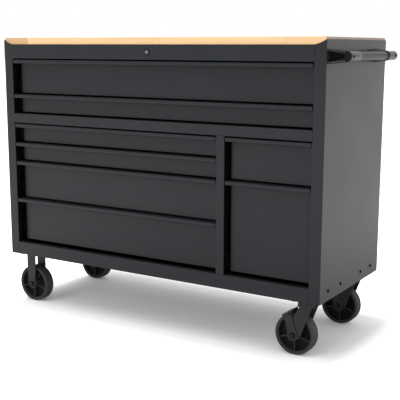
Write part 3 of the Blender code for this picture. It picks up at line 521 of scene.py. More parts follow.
def grained(name, colour, roughness, grain, height, metallic=0.0, variation=0.06, stretch=(1, 1, 1), ior=1.4):
    """A finish with fine grain as bump, and slow changes of tone and gloss."""
    made, tree, shader, place = new_material(name, roughness, metallic, ior)
    slow = noise(tree, place, 7.0)
    fine = noise(tree, place, grain, 1.5, stretch)
    tone = mixed(tree, spread(tree, slow, 0.0, 1.0), tinted(colour, 1 - variation), tinted(colour, 1 + variation))
    speck = mixed(tree, spread(tree, fine, 0.0, 1.0), tinted((1, 1, 1), 1 - variation), (1, 1, 1, 1))
    blend = add_node(tree, "ShaderNodeMix", {0: 1.0, 6: tone, 7: speck}, data_type="RGBA", blend_type="MULTIPLY")
    tree.links.new(blend.outputs[2], shader.inputs["Base Color"])
    gloss = spread(tree, slow, roughness - 0.03, roughness + 0.03)
    tree.links.new(gloss, shader.inputs["Roughness"])
    bump = add_node(tree, "ShaderNodeBump", {"Height": fine, "Strength": 0.35, "Distance": height})
    tree.links.new(bump.outputs[0], shader.inputs["Normal"])
    return made


def timber_finish(light, dark):
    """Oiled hardwood: tone by block, long grain on the faces and growth rings on the ends."""
    made, tree, shader, place = new_material("oiled_timber", 0.42)
    tone = add_node(tree, "ShaderNodeAttribute", attribute_name="tone").outputs["Fac"]
    moved = add_node(tree, "ShaderNodeVectorMath", {0: place, 1: (0, 0, 0)}, operation="ADD")
    shift = add_node(tree, "ShaderNodeVectorMath", {0: (3.1, 7.7, 5.3), "Scale": tone}, operation="SCALE")
    tree.links.new(shift.outputs[0], moved.inputs[1])
    place = moved.outputs[0]
    grain = noise(tree, place, 1.0, 4.0, (3.0, 70.0, 70.0))
    fine = noise(tree, place, 1.0, 2.0, (30.0, 900.0, 900.0))
    rings = add_node(
        tree, "ShaderNodeTexWave",
        {"Vector": place, "Scale": 95.0, "Distortion": 3.0, "Detail": 2.0, "Detail Scale": 0.6},
        wave_type="RINGS", rings_direction="X",
    ).outputs["Fac"]
    normal = add_node(tree, "ShaderNodeNewGeometry").outputs["Normal"]
    parts = add_node(tree, "ShaderNodeSeparateXYZ", {"Vector": normal}).outputs[0]
    side = add_node(tree, "ShaderNodeMath", {0: parts}, operation="ABSOLUTE").outputs[0]
    end = add_node(tree, "ShaderNodeMath", {0: side, 1: 0.7}, operation="GREATER_THAN").outputs[0]
    by_block = mixed(tree, tone, tinted(light, 1.09), tinted(light, 0.72))
    grained_tone = mixed(tree, spread(tree, grain, 0.0, 0.30), by_block, tinted(dark, 1.0))
    pores = mixed(tree, spread(tree, fine, 0.0, 0.07), grained_tone, tinted(dark, 0.6))
    ends = mixed(tree, rings, (0.43, 0.315, 0.235, 1.0), (0.52, 0.40, 0.31, 1.0))
    ends = mixed(tree, tone, ends, (0.40, 0.30, 0.255, 1.0))
    colour = mixed(tree, end, pores, ends)
    tree.links.new(colour, shader.inputs["Base Color"])
    tree.links.new(spread(tree, grain, 0.38, 0.48), shader.inputs["Roughness"])
    bump = add_node(tree, "ShaderNodeBump", {"Height": fine, "Strength": 0.25, "Distance": 0.0002})
    tree.links.new(bump.outputs[0], shader.inputs["Normal"])
    return made


def make_finishes():
    """Every finish of the cabinet, by its name."""
    tint = bpy.context.scene.cabinet_colours
    return {
        "coat": grained("powder_coat", tuple(tint.coat), 0.30, 1300.0, 0.00010, ior=1.39),
        # The inner finish is a much darker copy of the coat: painted shade on the faces behind the posts and the
        # divider, so the gaps beside the drawers read black.
        "inner": grained("painted_shade_coat", tinted(tint.coat, 0.22)[:3], 0.60, 1300.0, 0.00012, ior=1.2),
        "inside": grained("tray_coat", tuple(tint.coat), 0.42, 1300.0, 0.00012),
        "timber": timber_finish(tuple(tint.timber), tuple(tint.timber_dark)),
        # Nearly black plate, partly painted shade for the gaps beside the drawers.
        "zinc": grained("zinc_plate", tuple(tint.zinc), 0.42, 260.0, 0.00005, 1.0, 0.10),
        "ball": grained("polished_steel", tinted(tint.zinc, 1.2)[:3], 0.16, 500.0, 0.00002, 1.0),
        "tube": grained("satin_tube", tuple(tint.tube), 0.36, 900.0, 0.00008, 0.0, 0.06, (1, 0.05, 1), 1.34),
        "sleeve": grained("brushed_sleeve", tuple(tint.sleeve), 0.34, 190.0, 0.00015, 0.60, 0.65, (1, 1.5, 1)),
        "moulding": grained("black_moulding", tuple(tint.moulding), 0.34, 900.0, 0.00012, ior=1.24),
        # The rim finish is a six times lighter, glossier moulding: a painted highlight along the ridges round the
        # bracket pockets.
        "rim": grained("painted_highlight_moulding", tinted(tint.moulding, 6.0)[:3], 0.36, 900.0, 0.00012, ior=1.5),
        # Near-black finish: painted shade in the bracket pockets and on the tube's set screws, which stand for dark
        # holes; the side wall screws take it too.
        "pocket": grained("near_black_and_painted_shade", tinted(tint.moulding, 0.4)[:3], 0.60, 900.0, 0.00015, ior=1.15),
        # The web finish is the wheel colour at about a third: painted shade in the recess between the ribs.
        "web": grained("wheel_web_painted_shade", tinted(tint.wheel, 0.35)[:3], 0.60, 1000.0, 0.00015, ior=1.25),
        "fork": grained("fork_paint", tuple(tint.fork), 0.36, 800.0, 0.0001),
        "bolt": grained("blackened_bolt", tinted(tint.fork, 0.8)[:3], 0.40, 900.0, 0.00005, 0.5),
        "wheel": grained("wheel_moulding", tuple(tint.wheel), 0.46, 1000.0, 0.00015),
        "tread": grained("tread_rubber", tuple(tint.tread), 0.62, 700.0, 0.0002, 0.0, 0.09),
        "lock": grained("lock_nickel", tuple(tint.lock), 0.26, 900.0, 0.00003, 0.9),
        "lock_ring": grained("lock_black", tinted(tint.lock, 0.03)[:3], 0.45, 900.0, 0.00005, ior=1.2),
    }


FINISH = {}


# Body panels


def body_path(wall, inward, size):
    """The side panel's folds in plan, from the rear flange round to the post's return."""
    half = size.sheet / 2
    flat = [
        (0.015, BACK - half), (half, BACK - half), (half, FRONT + half),
        (POST - half, FRONT + half), (POST - half, FRONT + 0.018),
    ]
    return round_corners([(wall + inward * a, b) for a, b in flat], size.fold)


def post_top(path, wall, inward, size):
    """Height of a side panel's top edge: level on the wall, a sagging slope over the post's
    face down to the lip, and the deck's underside behind it."""
    across = (path[:, 0] - wall) * inward
    share = np.clip((across - size.sheet) / (POST - size.sheet), 0, 1)
    slope = SIDE_TOP + (LIP_TOP - SIDE_TOP) * share - 0.002 * np.sin(math.pi * share)
    on_face = path[:, 1] < FRONT + 2 * size.sheet
    behind = (across > 3 * size.sheet) & ~on_face & (path[:, 1] < FRONT + 0.05)
    top = np.where(on_face, slope, SIDE_TOP)
    return np.where(behind, LIP_TOP - 0.0056 - size.sheet - size.clear, top)


def side_panel(name, wall, inward, size):
    path = body_path(wall, inward, size)
    steps = np.linspace(0, 1, 7)[1:-1, None]
    at = int(np.argmax((path[:, 1] < FRONT + size.sheet) & (abs(path[:, 0] - wall) > POST / 2)))
    face = path[at - 1] + (path[at] - path[at - 1]) * steps
    path = np.concatenate([path[:at], face, path[at:]])
    top = post_top(path, wall, inward, size)
    shell = sheet(path, size.sheet, BOTTOM, top, "Z", size.edge)

    def behind_post(at):
        return (abs(at[:, 0] - wall) > 2.5 * size.sheet) & (at[:, 1] > FRONT + 2 * size.sheet)

    # Faces behind the post take the inner finish, painted shade for the gap beside the drawers.
    inner = [(FINISH["inner"], behind_post)]
    piece(name + "_coated", [shell], FINISH["coat"], "cabinet", [name], inner=inner)


def notch(path, depth, low, high, size):
    """Ends of a front sheet: held inside the posts at the front, and wide behind them."""
    inside = path[:, 0] < depth + size.clear
    return (
        np.where(inside, LEFT + POST + SEAM, low), np.where(inside, RIGHT - POST - SEAM, high)
    )


def split_at(path, level):
    """Adds two close points where a path first crosses a depth, so that a notch ends square."""
    at = int(np.argmax(path[:, 0] > level))
    share = (level - path[at - 1, 0]) / (path[at, 0] - path[at - 1, 0])
    here = path[at - 1] + (path[at] - path[at - 1]) * share
    extra = np.array([here, here + (path[at] - path[at - 1]) * 1e-4])
    return np.concatenate([path[:at], extra, path[at:]])


def front_sheet(name, path, size, wide=True):
    """A sheet folded along the cabinet's width."""
    path = round_corners(path, size.fold)
    low, high = LEFT + POST + SEAM, RIGHT - POST - SEAM
    if wide:
        path = split_at(path, FRONT + 0.018 + size.clear)
        reach = size.sheet + size.clear
        low, high = notch(path, FRONT + 0.018, LEFT + reach, RIGHT - reach, size)
    shell = sheet(path, size.sheet, low, high, "X", size.edge / 2)
    piece(name + "_coated", [shell], FINISH["coat"], "cabinet", [name])


def rails(size):
    half, rear = size.sheet / 2, FRONT + 0.018
    face = FRONT + half
    deck = LIP_TOP - 0.0056 - half
    inner_back = BACK - 2 * (size.sheet + size.clear)
    front_sheet("mid_rail", [
        (rear, LOWER_TOP + half), (face, LOWER_TOP + half),
        (face, UPPER_BOTTOM - half), (rear, UPPER_BOTTOM - half),
    ], size, wide=False)
    lip = LIP_TOP - half
    path = round_corners([
        (rear, UPPER_TOP + half), (face, UPPER_TOP + half), (face, lip), (FRONT + 0.0036, lip),
        (FRONT + 0.0036, deck), (FRONT + 0.0094, deck),
    ], 0.0011)
    path = np.concatenate([path, [(inner_back, deck)]])
    turn = int(np.argmax((path[:, 0] < rear - 0.001)))
    tail = path[turn:]
    path = np.concatenate([path[:turn], split_at(tail, rear + size.clear)])
    deep = np.arange(len(path)) >= len(path) - 2
    reach = size.sheet + size.clear
    low = np.where(deep, LEFT + reach, LEFT + POST + SEAM)
    high = np.where(deep, RIGHT - reach, RIGHT - POST - SEAM)
    shell = sheet(path, size.sheet, low, high, "X", size.edge / 2)
    piece("top_deck_coated", [shell], FINISH["coat"], "cabinet", ["top_deck"])
    floor = BOTTOM + half
    base = round_corners([
        (rear, LOWER_BOTTOM - half), (face, LOWER_BOTTOM - half), (face, floor),
        (inner_back - half, floor), (inner_back - half, BOTTOM + 0.015),
    ], size.fold)
    at = int(np.argmax(base[:, 1] < floor + EVEN))
    base = np.concatenate([base[:at], split_at(base[at:], rear + size.clear)])
    deep = (np.arange(len(base)) > at) & (base[:, 0] > rear + size.clear + EVEN)
    low = np.where(deep, LEFT + reach, LEFT + POST + size.clear)
    high = np.where(deep, RIGHT - reach, RIGHT - POST - size.clear)
    shell = sheet(base, size.sheet, low, high, "X", size.edge)
    piece("base_pan_coated", [shell], FINISH["coat"], "cabinet", ["base_pan"])


def fasteners(name, outward_way, wall, size):
    """Screws along the foot of a side wall."""
    spots = [(FRONT + y, BOTTOM + 0.029) for y in (0.057, 0.148, 0.306, 0.390)]
    shells = [button_screw(spot, "X", wall, outward_way, 0.0052) for spot in spots]
    # The screw heads take the same near-black finish as the bracket pockets.
    piece(name, shells, FINISH["pocket"], "cabinet")


class AddBodyPanels(bpy.types.Operator):
    """Folds the side panels, rails, deck, base and back of the body"""

    bl_idname = "cabinet.body_panels"
    bl_label = "Body panels"

    def execute(self, context):
        size = context.scene.cabinet_sizes
        side_panel("left_side_panel", LEFT, 1, size)
        side_panel("right_side_panel", RIGHT, -1, size)
        rails(size)
        low, high = corners("back_panel")
        shell = block(low, high, size.edge)
        piece("back_panel_coated", [shell], FINISH["coat"], "cabinet", ["back_panel"])
        fasteners("left_side_screws", -1, LEFT, size)
        fasteners("right_side_screws", 1, RIGHT, size)
        return {"FINISHED"}


# Worktop


def block_rows(size):
    """Ends of the blocks of every stave, and each block's tone. The front stave's joints are set."""
    draw = np.random.default_rng(11)
    count = int(round((TIMBER_HIGH[1] - TIMBER_LOW[1]) / size.stave))
    levels = np.linspace(TIMBER_LOW[1], TIMBER_HIGH[1], count + 1)
    rows = []
    for row in range(count):
        lengths = size.block * draw.uniform(0.72, 1.28, 6)
        cuts = TIMBER_LOW[0] + np.cumsum(lengths) - draw.uniform(0.1, 0.9) * size.block
        if row == 0:
            cuts = LEFT + np.array([0.102, 0.631, 1.048])
        cuts = cuts[(cuts > TIMBER_LOW[0] + 0.05) & (cuts < TIMBER_HIGH[0] - 0.05)]
        ends = np.concatenate([[TIMBER_LOW[0]], cuts, [TIMBER_HIGH[0]]])
        tones = draw.uniform(0, 1, len(ends) - 1)
        if row == 0:
            tones = np.array([1.0, 0.15, 0.05, 0.12])
        rows.append((levels[row], levels[row + 1], ends, tones))
    return rows


class AddWorktop(bpy.types.Operator):
    """Glues the timber blocks of the worktop"""

    bl_idname = "cabinet.worktop"
    bl_label = "Worktop"

    def execute(self, context):
        size = context.scene.cabinet_sizes
        gap = size.joint / 2
        shells, tones = [], []
        for near, far, ends, tone in block_rows(size):
            for start, stop, value in zip(ends, ends[1:], tone):
                low = (start + gap, near + gap, TIMBER_LOW[2])
                high = (stop - gap, far - gap, TIMBER_HIGH[2])
                shells.append(block(low, high, size.timber_edge))
                tones.append(np.full(len(shells[-1][0]), value))
        values = {"tone": np.concatenate(tones)}
        piece(
            "worktop_blocks", shells, FINISH["timber"], "cabinet", ["worktop"], values=values
        )
        return {"FINISHED"}


# Drawers


def drawer_front(name, size):
    low, high = corners(name + "_front")
    tray_low, tray_high = corners(name + "_tray")
    half = size.sheet / 2
    top, face = high[2] - half, FRONT + half
    panel = FRONT + size.panel_depth + half
    reach = size.slide_thickness - 0.0055
    path = round_corners([
        (FRONT + size.pull_lip, high[2] - size.pull_height + half),
        (face, high[2] - size.pull_height + half), (face, top), (panel + half + 0.002, top),
    ], size.pull_fold)
    pull = sheet(path, size.sheet, low[0], high[0], "X", size.edge)
    bottom = low[2] + half
    path = round_corners([(panel + 0.010, bottom), (panel, bottom), (panel, top)], size.fold)
    left, right = tray_low[0] + reach, tray_high[0] - reach
    plate_shell = sheet(path, size.sheet, left, right, "X", size.edge)
    shells = [pull, plate_shell]
    piece(name + "_front_coated", shells, FINISH["coat"], name, [name + "_front"])


def drawer_tray(name, size):
    """A tray of thin sheet with hemmed rims, closed by a plate at each end."""
    front_low, front_high = corners(name + "_front")
    low, high = corners(name + "_tray")
    reach = size.slide_thickness - 0.0055
    half = 0.0005
    left, right = low[0] + reach + 0.0002, high[0] - reach - 0.0002
    floor, rim = front_low[2] + 0.006 + half, front_high[2] - 0.012 - half
    path = round_corners([
        (left + 0.006, rim), (left, rim), (left, floor), (right, floor), (right, rim),
        (right - 0.006, rim),
    ], 0.0012)
    near, far = low[1], high[1]
    shells = [sheet(path, 2 * half, near, far, "Y", 0.00015)]
    for start in (near + 0.0005, far - 0.0015):
        shells.append(block((left, start, floor), (right, start + 0.001, rim), 0.00015))
    piece(name + "_tray_coated", shells, FINISH["inside"], name, [name + "_tray"])
    return near


def slide_paths(size):
    """The three members of a slide: across values from the cabinet side, and heights."""
    t = 0.0012
    half = (size.slide_height - t) / 2
    outer = [(0.0099, -half + 0.0026), (0.0099, -half), (t / 2, -half),
             (t / 2, half), (0.0099, half), (0.0099, half - 0.0026)]
    mid = size.slide_height / 2 - t - 0.0026 - 0.0005
    middle = [(0.0106, -mid + 0.0018), (0.0106, -mid), (0.0036, -mid),
              (0.0036, mid), (0.0106, mid), (0.0106, mid - 0.0018)]
    low = mid - 0.0018 - 0.0004 - t / 2
    web = size.slide_thickness - t / 2
    inner = [(0.0055, -low), (web, -low), (web, low), (0.0055, low)]
    return outer, middle, inner


def member(path, side, web, level, near, far, size, fold=0.0008):
    placed_path = [(web + side * u, level + v) for u, v in path]
    return sheet(round_corners(placed_path, fold, 3), 0.0012, near, far, "Y", 0.0002)


def balls(rows, radius):
    """Small spheres of eight by five facets, one around each point of an array."""
    lat = np.linspace(-math.pi / 2, math.pi / 2, 6)[1:-1, None]
    lon = np.arange(8) * math.pi / 4
    ring_points = np.stack(np.broadcast_arrays(
        np.cos(lat) * np.cos(lon), np.cos(lat) * np.sin(lon), np.sin(lat)), axis=-1)
    return [capped(centre + ring_points * radius) for centre in rows]


def slide_places(name, size):
    """Side, web place and height of a drawer's two slides."""
    low, high = corners(name + "_tray")
    reach = size.slide_thickness - 0.0055
    level = corners(name + "_front")[0][2] + 0.032
    return (
        ("l", 1, low[0] + reach - size.slide_thickness, level),
        ("r", -1, high[0] - reach + size.slide_thickness, level),
    )


def drawer_slides(name, size):
    """Drawer members on the tray, and middle members with rows of balls."""
    outer, middle, inner = slide_paths(size)
    near = corners(name + "_slide_l")[0][1]
    far = corners(name + "_slide_l")[1][1]
    members = []
    for hand, side, web, level in slide_places(name, size):
        members.append(member(inner, side, web, level, near, far, size))
        shell = member(middle, side, web, level, near, far, size)
        node = f"{name}_slide_{hand}"
        piece(node + "_plated", [shell], FINISH["zinc"], name + "_slides", [node])
        spheres = []
        for start, across, height in ((near + 0.02, 0.0078, 0.0126), (far - 0.10, 0.0068, 0.0201)):
            run = start + np.arange(10) * 0.008
            for way in (-1, 1):
                centres = placed(web + side * across, level + way * height, run, "Y")
                spheres += balls(centres, size.ball)
        piece(node + "_balls", spheres, FINISH["ball"], name + "_slides", [node])
    piece(name + "_drawer_members", members, FINISH["zinc"], name, [name + "_tray"])


class AddDrawers(bpy.types.Operator):
    """Makes the drawer fronts, trays and slides"""

    bl_idname = "cabinet.drawers"
    bl_label = "Drawers"

    def execute(self, context):
        size = context.scene.cabinet_sizes
        for name in DRAWERS:
            drawer_front(name, size)
            drawer_tray(name, size)
            drawer_slides(name, size)
        return {"FINISHED"}


def cabinet_members(names, hand, size):
    """The cabinet members of these drawers' slides on one side."""
    outer = slide_paths(size)[0]
    shells = []
    for name in names:
        near = corners(name + "_slide_l")[0][1]
        for here, side, web, level in slide_places(name, size):
            if here == hand:
                shells.append(member(outer, side, web, level, near, near + 0.400, size))
    return shells


def rack(name, names, hand, wall, size):
    """Two folded uprights from the side wall to the cabinet members."""
    shells = cabinet_members(names, hand, size)
    low, high = corners(name)
    near = corners(names[0] + "_slide_l")[0][1]
    _, side, web, _ = next(row for row in slide_places(names[0], size) if row[0] == hand)
    face, foot = web - side * 0.0003, wall + side * 0.0009
    for start in (near + 0.045, near + 0.330):
        path = [(face, start + 0.025), (face, start), (foot, start), (foot, start + 0.025)]
        shells.append(sheet(round_corners(path, 0.0009, 3), size.sheet, low[2], high[2], "Z", size.edge))
    piece(name + "_plated", shells, FINISH["zinc"], "cabinet", [name])


class AddRacks(bpy.types.Operator):
    """Makes the centre divider and the racks that carry the cabinet members"""

    bl_idname = "cabinet.racks"
    bl_label = "Divider and racks"

    def execute(self, context):
        size = context.scene.cabinet_sizes
        left = [name for name in DRAWERS if "_left_" in name]
        right = [name for name in DRAWERS if "_right_" in name]
        wide = [name for name in DRAWERS if "_wide_" in name]
        rack("slide_rack_left", wide + left, "l", LEFT + size.sheet, size)
        rack("slide_rack_right", wide + right, "r", RIGHT - size.sheet, size)
        low, high = corners("centre_divider")
        start = corners("drawer_left_1_front")[1][0] + 0.003
        stop = corners("drawer_right_1_front")[0][0] - 0.003
        half, fold = size.sheet / 2, FRONT + 0.018 - size.sheet / 2
        inset = 0.0023 + half
        path = round_corners([
            (start + inset, high[1]), (start + inset, fold), (start + half, fold),
            (start + half, FRONT + half), (stop - half, FRONT + half), (stop - half, fold),
            (stop - inset, fold), (stop - inset, high[1]),
        ], 0.00082)
        foot = np.where(path[:, 1] < FRONT + 0.018 + 0.002, LOWER_BOTTOM + size.clear, low[2])
        shell = sheet(path, size.sheet, foot, high[2], "Z", size.edge)
        # Faces behind the divider's front take the inner finish, painted shade.
        inner = [(FINISH["inner"], lambda at: at[:, 1] > FRONT + 2 * size.sheet)]
        piece(
            "centre_divider_coated", [shell], FINISH["coat"], "cabinet", ["centre_divider"],
            inner=inner,
        )
        members = cabinet_members(left, "r", size) + cabinet_members(right, "l", size)
        piece("divider_members", members, FINISH["zinc"], "cabinet", ["centre_divider"])
        return {"FINISHED"}


# Lock


class AddLock(bpy.types.Operator):
    """Turns the lock's housing and its core with a keyway"""

    bl_idname = "cabinet.lock"
    bl_label = "Lock"

    def execute(self, context):
        low, high = corners("lock_housing")
        centre = ((low[0] + high[0]) / 2, (low[2] + high[2]) / 2)
        radius, bore = (high[0] - low[0]) / 2, 0.0062
        barrel = 0.0080
        turn = np.linspace(0, math.pi / 2, 5)
        soft = 0.0006
        rim = np.stack([radius - soft + soft * np.sin(turn), low[1] + soft - soft * np.cos(turn)], axis=1)
        profile = np.concatenate([
            [(bore, low[1] + 0.0005), (bore + 0.0004, low[1])], rim,
            [(radius, FRONT - 0.0003), (barrel, FRONT - 0.0003), (barrel, high[1]), (bore, high[1])],
        ])
        piece("lock_housing_ring", [ring(profile, centre, "Y", 64)], FINISH["lock_ring"], "cabinet",
              ["lock_housing"])
        nose = corners("lock_core")[0][1]
        tail = corners("lock_core")[1][1]
        sides = 96
        angle = np.arange(sides) * 2 * np.pi / sides
        slot = np.minimum(0.0007 / np.maximum(abs(np.cos(angle)), EVEN),
                          0.0036 / np.maximum(abs(np.sin(angle)), EVEN))
        core = 0.0060
        profile = np.array([
            (core, nose + 0.012), (core, nose), (core - 0.0003, nose), (core, nose + 0.0003), (core, tail),
            (0.001, tail),
        ])
        limit = np.full((len(profile), sides), 1.0)
        limit[:2] = slot
        shells = [turned(profile, centre, "Y", sides, limit)]
        cam = [(centre[0] - 0.0055, centre[1] - 0.0055), (centre[0] + 0.021, centre[1] - 0.0055),
               (centre[0] + 0.021, centre[1] + 0.0055), (centre[0] - 0.0055, centre[1] + 0.0055)]
        shells.append(plate(cam, tail - 0.002, tail, "Y", 0.0002))
        piece("lock_core_keyed", shells, FINISH["lock"], "lock", ["lock_core"])
        return {"FINISHED"}


# Push handle


def rounded_square(count, power=7.0):
    """A square with round corners: (sign cos |cos|^(2/power), sign sin |sin|^(2/power)), spaced
    evenly round its edge."""
    dense = np.linspace(0, 2 * math.pi, 4001)
    a = np.sign(np.cos(dense)) * abs(np.cos(dense)) ** (2 / power)
    b = np.sign(np.sin(dense)) * abs(np.sin(dense)) ** (2 / power)
    length = np.concatenate([[0], np.cumsum(np.hypot(np.diff(a), np.diff(b)))])
    even = np.arange(count) / count * length[-1]
    return np.interp(even, length, a), np.interp(even, length, b)


def bracket(name, outer_y, inner_y, tip_y, blind, size):
    """A wedge lofted from its foot to the tube: a rounded square carried from the foot's outline
    to the tip's, with a three sided pocket pressed into its outer face."""
    inward = 1 if inner_y > outer_y else -1
    x0, x1 = RIGHT + size.clear, (TUBE_LOW[0] + TUBE_HIGH[0]) / 2
    level = (TUBE_LOW[2] + TUBE_HIGH[2]) / 2
    a, b = rounded_square(320)
    v = np.linspace(0, 1, 150)[:, None]
    side = (a + 1) / 2
    tip = size.sleeve + 0.0016
    near = outer_y + (tip_y - inward * 0.004 - outer_y) * v
    far = inner_y + (tip_y + inward * 0.004 - inner_y) * v
    tall = 0.0213 + (tip - 0.0213) * v
    low = 0.0160 + (tip - 0.0160) * v
    x = x0 + (x1 - x0) * v + 0 * a
    y = near + (far - near) * side
    z = (tall + (low - tall) * side) * b
    run = math.hypot(x1 - x0, tip_y - inward * 0.004 - outer_y)
    along = v * run
    first, last = 0.0045, run - 0.0012
    share = np.clip((along - first) / (last - first), 0, 1)
    wide = 0.0158 + (0.0022 - 0.0158) * share
    inside = np.minimum(np.minimum(along - first, last - along), wide - abs(z))
    soft = np.clip(inside / 0.0014, 0, 1)
    depth = 0.004 * soft * soft * (3 - 2 * soft) * np.clip((0.35 - side) / 0.3, 0, 1)
    way = np.array([-(tip_y - inward * 0.004 - outer_y), x1 - x0]) / run * inward
    x, y = x + way[0] * depth, y + way[1] * depth

    # Faces along the ridges round the pocket, which take the painted highlight.
    def on_rim(at):
        deep = (at[:, 0] - x0) * way[0] + (at[:, 1] - outer_y) * way[1]
        apart = np.hypot(at[:, 0] - x0, at[:, 1] - outer_y)
        height = abs(at[:, 2] - level) / (0.0213 + (tip - 0.0213) * apart / run)
        return (deep < 0.012) & (height > 0.70) & (height < 0.84) & (apart < last) & (apart > 0.003)

    # Faces in the pressed pocket, which take the painted shade.
    def in_pocket(at):
        deep = (at[:, 0] - x0) * way[0] + (at[:, 1] - outer_y) * way[1]
        apart = np.hypot(at[:, 0] - x0, at[:, 1] - outer_y)
        reach = 0.0158 + (0.0022 - 0.0158) * np.clip((apart - first) / (last - first), 0, 1)
        return (deep > 0.0008) & (deep < 0.0046) & (abs(at[:, 2] - level) < reach) & (apart < last)

    shells = [capped(np.stack([x, y, level + z], axis=-1))]
    bore, wall, soft = size.sleeve + size.clear, 0.0015, 0.0005
    low_y, high_y = tip_y - (0.0036 if blind else 0.005), tip_y + 0.005
    outer = bore + wall
    profile = [
        (bore, low_y + soft), (bore + soft, low_y), (outer - soft, low_y), (outer, low_y + soft),
        (outer, high_y - soft), (outer - soft, high_y), (bore + soft, high_y), (bore, high_y - soft),
    ]
    centre = (x1, level)
    if blind:
        turn = np.linspace(0, math.pi / 2, 7)
        profile = np.concatenate([
            [(0.001, low_y)],
            np.stack([outer - 0.002 + 0.002 * np.sin(turn), low_y + 0.002 - 0.002 * np.cos(turn)], axis=1),
            [(outer, high_y - soft), (outer - soft, high_y), (bore + soft, high_y), (bore, high_y - soft),
             (bore, low_y + 0.004), (0.001, low_y + 0.004)],
        ])
        shells.append(turned(profile, centre, "Y", 72))
    else:
        shells.append(ring(profile, centre, "Y", 72))
    # The pocket takes painted shade and the ridges round it a painted highlight.
    piece(name + "_moulded", shells, FINISH["moulding"], "cabinet", [name],
          inner=[(FINISH["rim"], on_rim), (FINISH["pocket"], in_pocket)])


def swept(radius_low, radius_high, low, high, count=5):
    """Radius and run pairs that pass from one radius to another as half a cosine wave."""
    share = np.linspace(0, 1, count)
    wave = (1 - np.cos(math.pi * share)) / 2
    return np.stack([radius_low + (radius_high - radius_low) * wave, low + (high - low) * share], axis=1)


class AddHandle(bpy.types.Operator):
    """Makes the push handle: brackets, grip tube, end sleeves and set screws"""

    bl_idname = "cabinet.handle"
    bl_label = "Push handle"

    def execute(self, context):
        size = context.scene.cabinet_sizes
        low, high = corners("handle_bracket_front")
        front_tip = TUBE_LOW[1] - 0.004 - size.clear + 0.005
        bracket("handle_bracket_front", FRONT + 0.003, FRONT + 0.063, front_tip, True, size)
        rear_low, rear_high = corners("handle_bracket_rear")
        rear_tip = TUBE_HIGH[1] - 0.075 + 0.005
        bracket("handle_bracket_rear", rear_high[1], rear_high[1] - 0.095, rear_tip, False, size)
        centre = ((TUBE_LOW[0] + TUBE_HIGH[0]) / 2, (TUBE_LOW[2] + TUBE_HIGH[2]) / 2)
        start, stop = TUBE_LOW[1], TUBE_HIGH[1]
        front_joint, rear_joint = start + 0.081, rear_tip - 0.005
        grip = [(0.002, front_joint - 0.004), (size.tube, front_joint - 0.004), (size.tube, rear_joint + 0.004),
                (0.002, rear_joint + 0.004)]
        piece("handle_tube_grip", [turned(grip, centre, "Y", 96)], FINISH["tube"], "cabinet",
              ["handle_tube"])
        edge = 0.0012
        sleeves = []
        for near, far in ((start, front_joint), (rear_joint, stop)):
            turn = np.linspace(0, math.pi / 2, 5)
            first = np.stack([size.sleeve - edge + edge * np.sin(turn), near + edge - edge * np.cos(turn)], axis=1)
            last = np.stack([size.sleeve - edge + edge * np.cos(turn), far - edge + edge * np.sin(turn)], axis=1)
            profile = np.concatenate([[(0.002, near)], first, last, [(0.002, far)]])
            sleeves.append(turned(profile, centre, "Y", 96))
        piece("handle_tube_sleeves", sleeves, FINISH["sleeve"], "cabinet", ["handle_tube"])
        face = centre[0] + size.sleeve - 0.0006
        screws = [
            button_screw((y, centre[1]), "X", face, 1, 0.0046)
            for y in (start + 0.020, stop - 0.015)
        ]
        # The set screws take the near-black finish, painted shade for a dark screw hole.
        piece("handle_set_screws", screws, FINISH["pocket"], "cabinet", ["handle_tube"])
        return {"FINISHED"}


# Casters


def wheel_centre(x, y, z, size, turn):
    """Rim, web, ribs and hub in one grid: radius and run by ring, and in the field between hub
    and rim the run rises from the web to the rib with a smooth step across each rib."""
    hub, rim_in, rim_out = 0.018, 0.051, 0.0570
    web, rib_run, rim_run, hub_run, bore = 0.002, 0.015, 0.0168, 0.0234, 0.0052
    field = np.linspace(hub + 0.0006, rim_in - 0.0006, 12)
    radius = np.concatenate([
        [bore, hub - 0.0008, hub, hub + 0.0002], field, [rim_in - 0.0002, rim_in, rim_in + 0.0008, rim_out]
    ])
    run = np.concatenate([
        [hub_run, hub_run, hub_run - 0.0008, web + 0.0008], np.full(len(field), web),
        [web + 0.0008, rim_run - 0.0008, rim_run, rim_run],
    ])
    in_field = np.concatenate([[0] * 3, [1], np.ones(len(field)), [1], [0] * 3])
    sides = 320
    angle = np.arange(sides) * 2 * np.pi / sides
    part = np.mod(angle - turn + np.pi / size.ribs, 2 * np.pi / size.ribs) - np.pi / size.ribs
    off = abs(np.sin(part) * radius[:, None])
    step = np.clip((size.rib / 2 + 0.0005 - off) / 0.001, 0, 1)
    step = step * step * (3 - 2 * step) * in_field[:, None]
    rise = run[:, None] + (rib_run - run[:, None]) * step
    half = np.stack([np.repeat(radius[:, None], sides, axis=1), rise], axis=-1)
    other = half[::-1] * [1, -1]
    loop = np.concatenate([half, other])
    first = x + loop[..., 0] * np.cos(angle)
    second = z + loop[..., 0] * np.sin(angle)
    grid = placed(first, second, y + loop[..., 1], "Y")
    return outward(grid.reshape(-1, 3), [grid_faces(len(loop), sides, True, True)])


def tread(x, y, z):
    """A rubber ring on the rim: flat flanks, round shoulders and a slightly crowned tread."""
    half, outer, inner, soft = 0.0185, 0.0625, 0.0560, 0.0042
    turn = np.linspace(0, math.pi / 2, 7)
    shoulder = np.stack([outer - 0.0007 - soft + soft * np.sin(turn), half - soft + soft * np.cos(turn)], axis=1)
    side = np.concatenate([[(inner, half - 0.0012), (inner + 0.0008, half)], shoulder])
    profile = np.concatenate([side, [(outer - 0.0003, half * 0.4), (outer - 0.0003, -half * 0.4)], side[::-1] * [1, -1]])
    profile[:, 1] += y
    return ring(profile, (x, z), "Y", 128)


